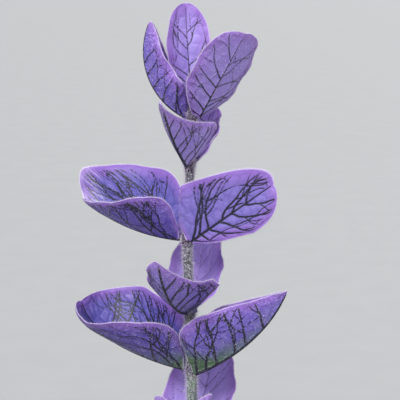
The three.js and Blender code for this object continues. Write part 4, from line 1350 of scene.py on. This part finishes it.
class SAGE_OT_flowers(bpy.types.Operator):
    """Set the lipped flowers and buds in their ribbed calyxes"""

    bl_idname = "sage.flowers"
    bl_label = "Flowers"

    def execute(self, context):
        looks = context.scene.sage_plant
        calyx = self.calyx()
        corolla = self.corolla(looks)
        calyxes, corollas = [], []
        for whorl in WHORLS:
            for side in whorl["sides"]:
                for turn in (-FLOWER_SPREAD, FLOWER_SPREAD):
                    place = in_flower(DIRECTIONS[side] + turn, PAIR_HEIGHT[whorl["pair"]] + 2.2)
                    calyxes.append(self.copy(calyx, place))
                    if whorl["open"]:
                        corollas.append(self.copy(corolla, place))
        bpy.data.objects.remove(calyx)
        bpy.data.objects.remove(corolla)
        dress(join("flower_calyxes", calyxes), calyx_finish(looks))
        dress(join("flower_corollas", corollas), petal_finish(looks))
        return {"FINISHED"}

    def copy(self, form, place):
        piece = form.copy()
        piece.data = form.data.copy()
        piece.data.transform(place)
        bpy.context.scene.collection.objects.link(piece)
        return piece

    def calyx(self):
        """A flaring cup with ten ribs and five teeth, along the x axis."""
        profile = [(0.5, 0), (0.75, 0.4), (1.05, 1.5), (1.35, 3), (1.6, 4.5), (1.8, 6), (1.95, 7)]
        profile += [(2.05, 8), (1.8, 7.9), (1.55, 6.5), (1.2, 4), (0.8, 1.6), (0.05, 1.4)]
        cup = turned("calyx", profile, 60, closed=False)
        points = coordinates(cup.data) / MM
        angle = np.arctan2(points[:, 1], points[:, 0])
        rib = np.cos(5 * angle) ** 2
        swell = 1 + 0.07 * rib * ramp(points[:, 2], 0.3, 1.5)
        points[:, :2] *= swell[:, None]
        points[:, 2] += ramp(points[:, 2], 6.4, 8) * (np.cos(5 * angle) * 0.5 + 0.5) ** 2 * 1.1
        set_coordinates(cup.data, lie(points) * MM)
        set_attribute(cup.data, "vein", rib**3)
        return cup

    def corolla(self, looks):
        """A tube with a hooded upper lip and a spreading lower lip, along the x axis."""
        profile = [(0.9, 5), (1.05, 7), (1.15, 9), (1.5, 11), (1.75, 11.8)]
        profile += [(1.6, 11.8), (1.2, 10), (0.05, 9.4)]
        throat = turned("throat", profile, 24, closed=False)
        points = coordinates(throat.data)
        set_coordinates(throat.data, lie(points))
        set_attribute(throat.data, "pale", np.full(len(points), 0.8))
        lip = dict(neck=1.1, peak=0.45, blunt=0.4)
        upper = dict(lip, length=6.5, width=1.9, rise=(20, -40), fold=-35, curl=-40, wave=0)
        lower = dict(lip, length=5, width=2.6, rise=(-15, -60), fold=15, curl=20, wave=0.2)
        lips = []
        for name, shape, z, pale in (("hood", upper, 0.9, 0.05), ("lower_lip", lower, -0.8, 0.9)):
            offset = np.array([10.2, 0, z])
            blade = Blade(shape, lambda points, _, offset=offset: points + offset, 900)
            lips.append(blade_piece(name, blade, looks, 2, (20, 12), pale, keel=0, puff=0.0))
        return join("corolla", [throat, *lips])


class SAGE_OT_stage(bpy.types.Operator):
    """Lay the floor, hang the lights and aim the camera"""

    bl_idname = "sage.stage"
    bl_label = "Stage"

    def execute(self, context):
        scene = context.scene
        stage = scene.sage_stage
        deselect()
        bpy.ops.mesh.primitive_plane_add(size=60)
        floor = bpy.context.object
        floor.name = "studio_floor"
        floor.data.materials.append(floor_finish(stage))
        self.sun("key_light", (-0.5, -0.62, 0.9), stage.key, 30)
        self.sun("fill_light", (0.45, -1.0, 0.25), stage.key * 0.4, 60)
        self.sun("rim_light", (0.35, 0.9, 0.75), stage.key * 0.6, 12)
        scene.world = scene.world or bpy.data.worlds.new("studio")
        scene.world.use_nodes = True
        air = scene.world.node_tree.nodes["Background"]
        air.inputs["Color"].default_value = (1, 1, 1, 1)
        air.inputs["Strength"].default_value = stage.air
        tilt = math.radians(CAMERA_TILT)
        bpy.ops.object.camera_add()
        camera = bpy.context.object
        camera.name = "photo_camera"
        camera.location = CAMERA_TARGET + CAMERA_DISTANCE * Vector((0, -math.cos(tilt), math.sin(tilt)))
        camera.rotation_euler = (math.radians(90) - tilt, 0, 0)
        camera.data.lens = CAMERA_LENS
        camera.data.clip_start = 0.01
        scene.camera = camera
        scene.view_settings.view_transform = "Standard"
        return {"FINISHED"}

    def sun(self, name, source, strength, softness):
        """A soft light from far away, so that floor and plant are lit alike."""
        bpy.ops.object.light_add(type="SUN")
        light = bpy.context.object
        light.name = name
        light.data.energy = strength
        light.data.angle = math.radians(softness)
        light.rotation_euler = Vector(source).to_track_quat("Z", "Y").to_euler()


class SAGE_PT_panel(bpy.types.Panel):
    """Everything that builds the potted painted sage"""

    bl_idname = "SAGE_PT_panel"
    bl_label = "Potted painted sage"
    bl_space_type = "VIEW_3D"
    bl_region_type = "UI"
    bl_category = "Sage"

    def draw(self, context):
        scene = context.scene
        for group in (scene.sage_pot, scene.sage_plant, scene.sage_stage):
            box = self.layout.box()
            for name in group.__annotations__:
                box.prop(group, name)
        for operator in OPERATORS:
            self.layout.operator(operator.bl_idname)


OPERATORS = (
    SAGE_OT_pot,
    SAGE_OT_soil,
    SAGE_OT_stem,
    SAGE_OT_bracts,
    SAGE_OT_floral_bracts,
    SAGE_OT_flowers,
    SAGE_OT_leaves,
    SAGE_OT_shoots,
    SAGE_OT_stage,
)
CLASSES = (SagePotSizes, SagePlantLooks, SageStage, *OPERATORS, SAGE_PT_panel)


def register():
    for made in CLASSES:
        bpy.utils.register_class(made)
    bpy.types.Scene.sage_pot = PointerProperty(type=SagePotSizes)
    bpy.types.Scene.sage_plant = PointerProperty(type=SagePlantLooks)
    bpy.types.Scene.sage_stage = PointerProperty(type=SageStage)


def unregister():
    del bpy.types.Scene.sage_stage
    del bpy.types.Scene.sage_plant
    del bpy.types.Scene.sage_pot
    for made in reversed(CLASSES):
        bpy.utils.unregister_class(made)


def main():
    register()
    bpy.ops.sage.pot()
    bpy.ops.sage.soil()
    bpy.ops.sage.stem()
    bpy.ops.sage.bracts()
    bpy.ops.sage.floral_bracts()
    bpy.ops.sage.flowers()
    bpy.ops.sage.leaves()
    bpy.ops.sage.shoots()
    bpy.ops.sage.stage()
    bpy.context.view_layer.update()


if __name__ == "__main__":
    main()
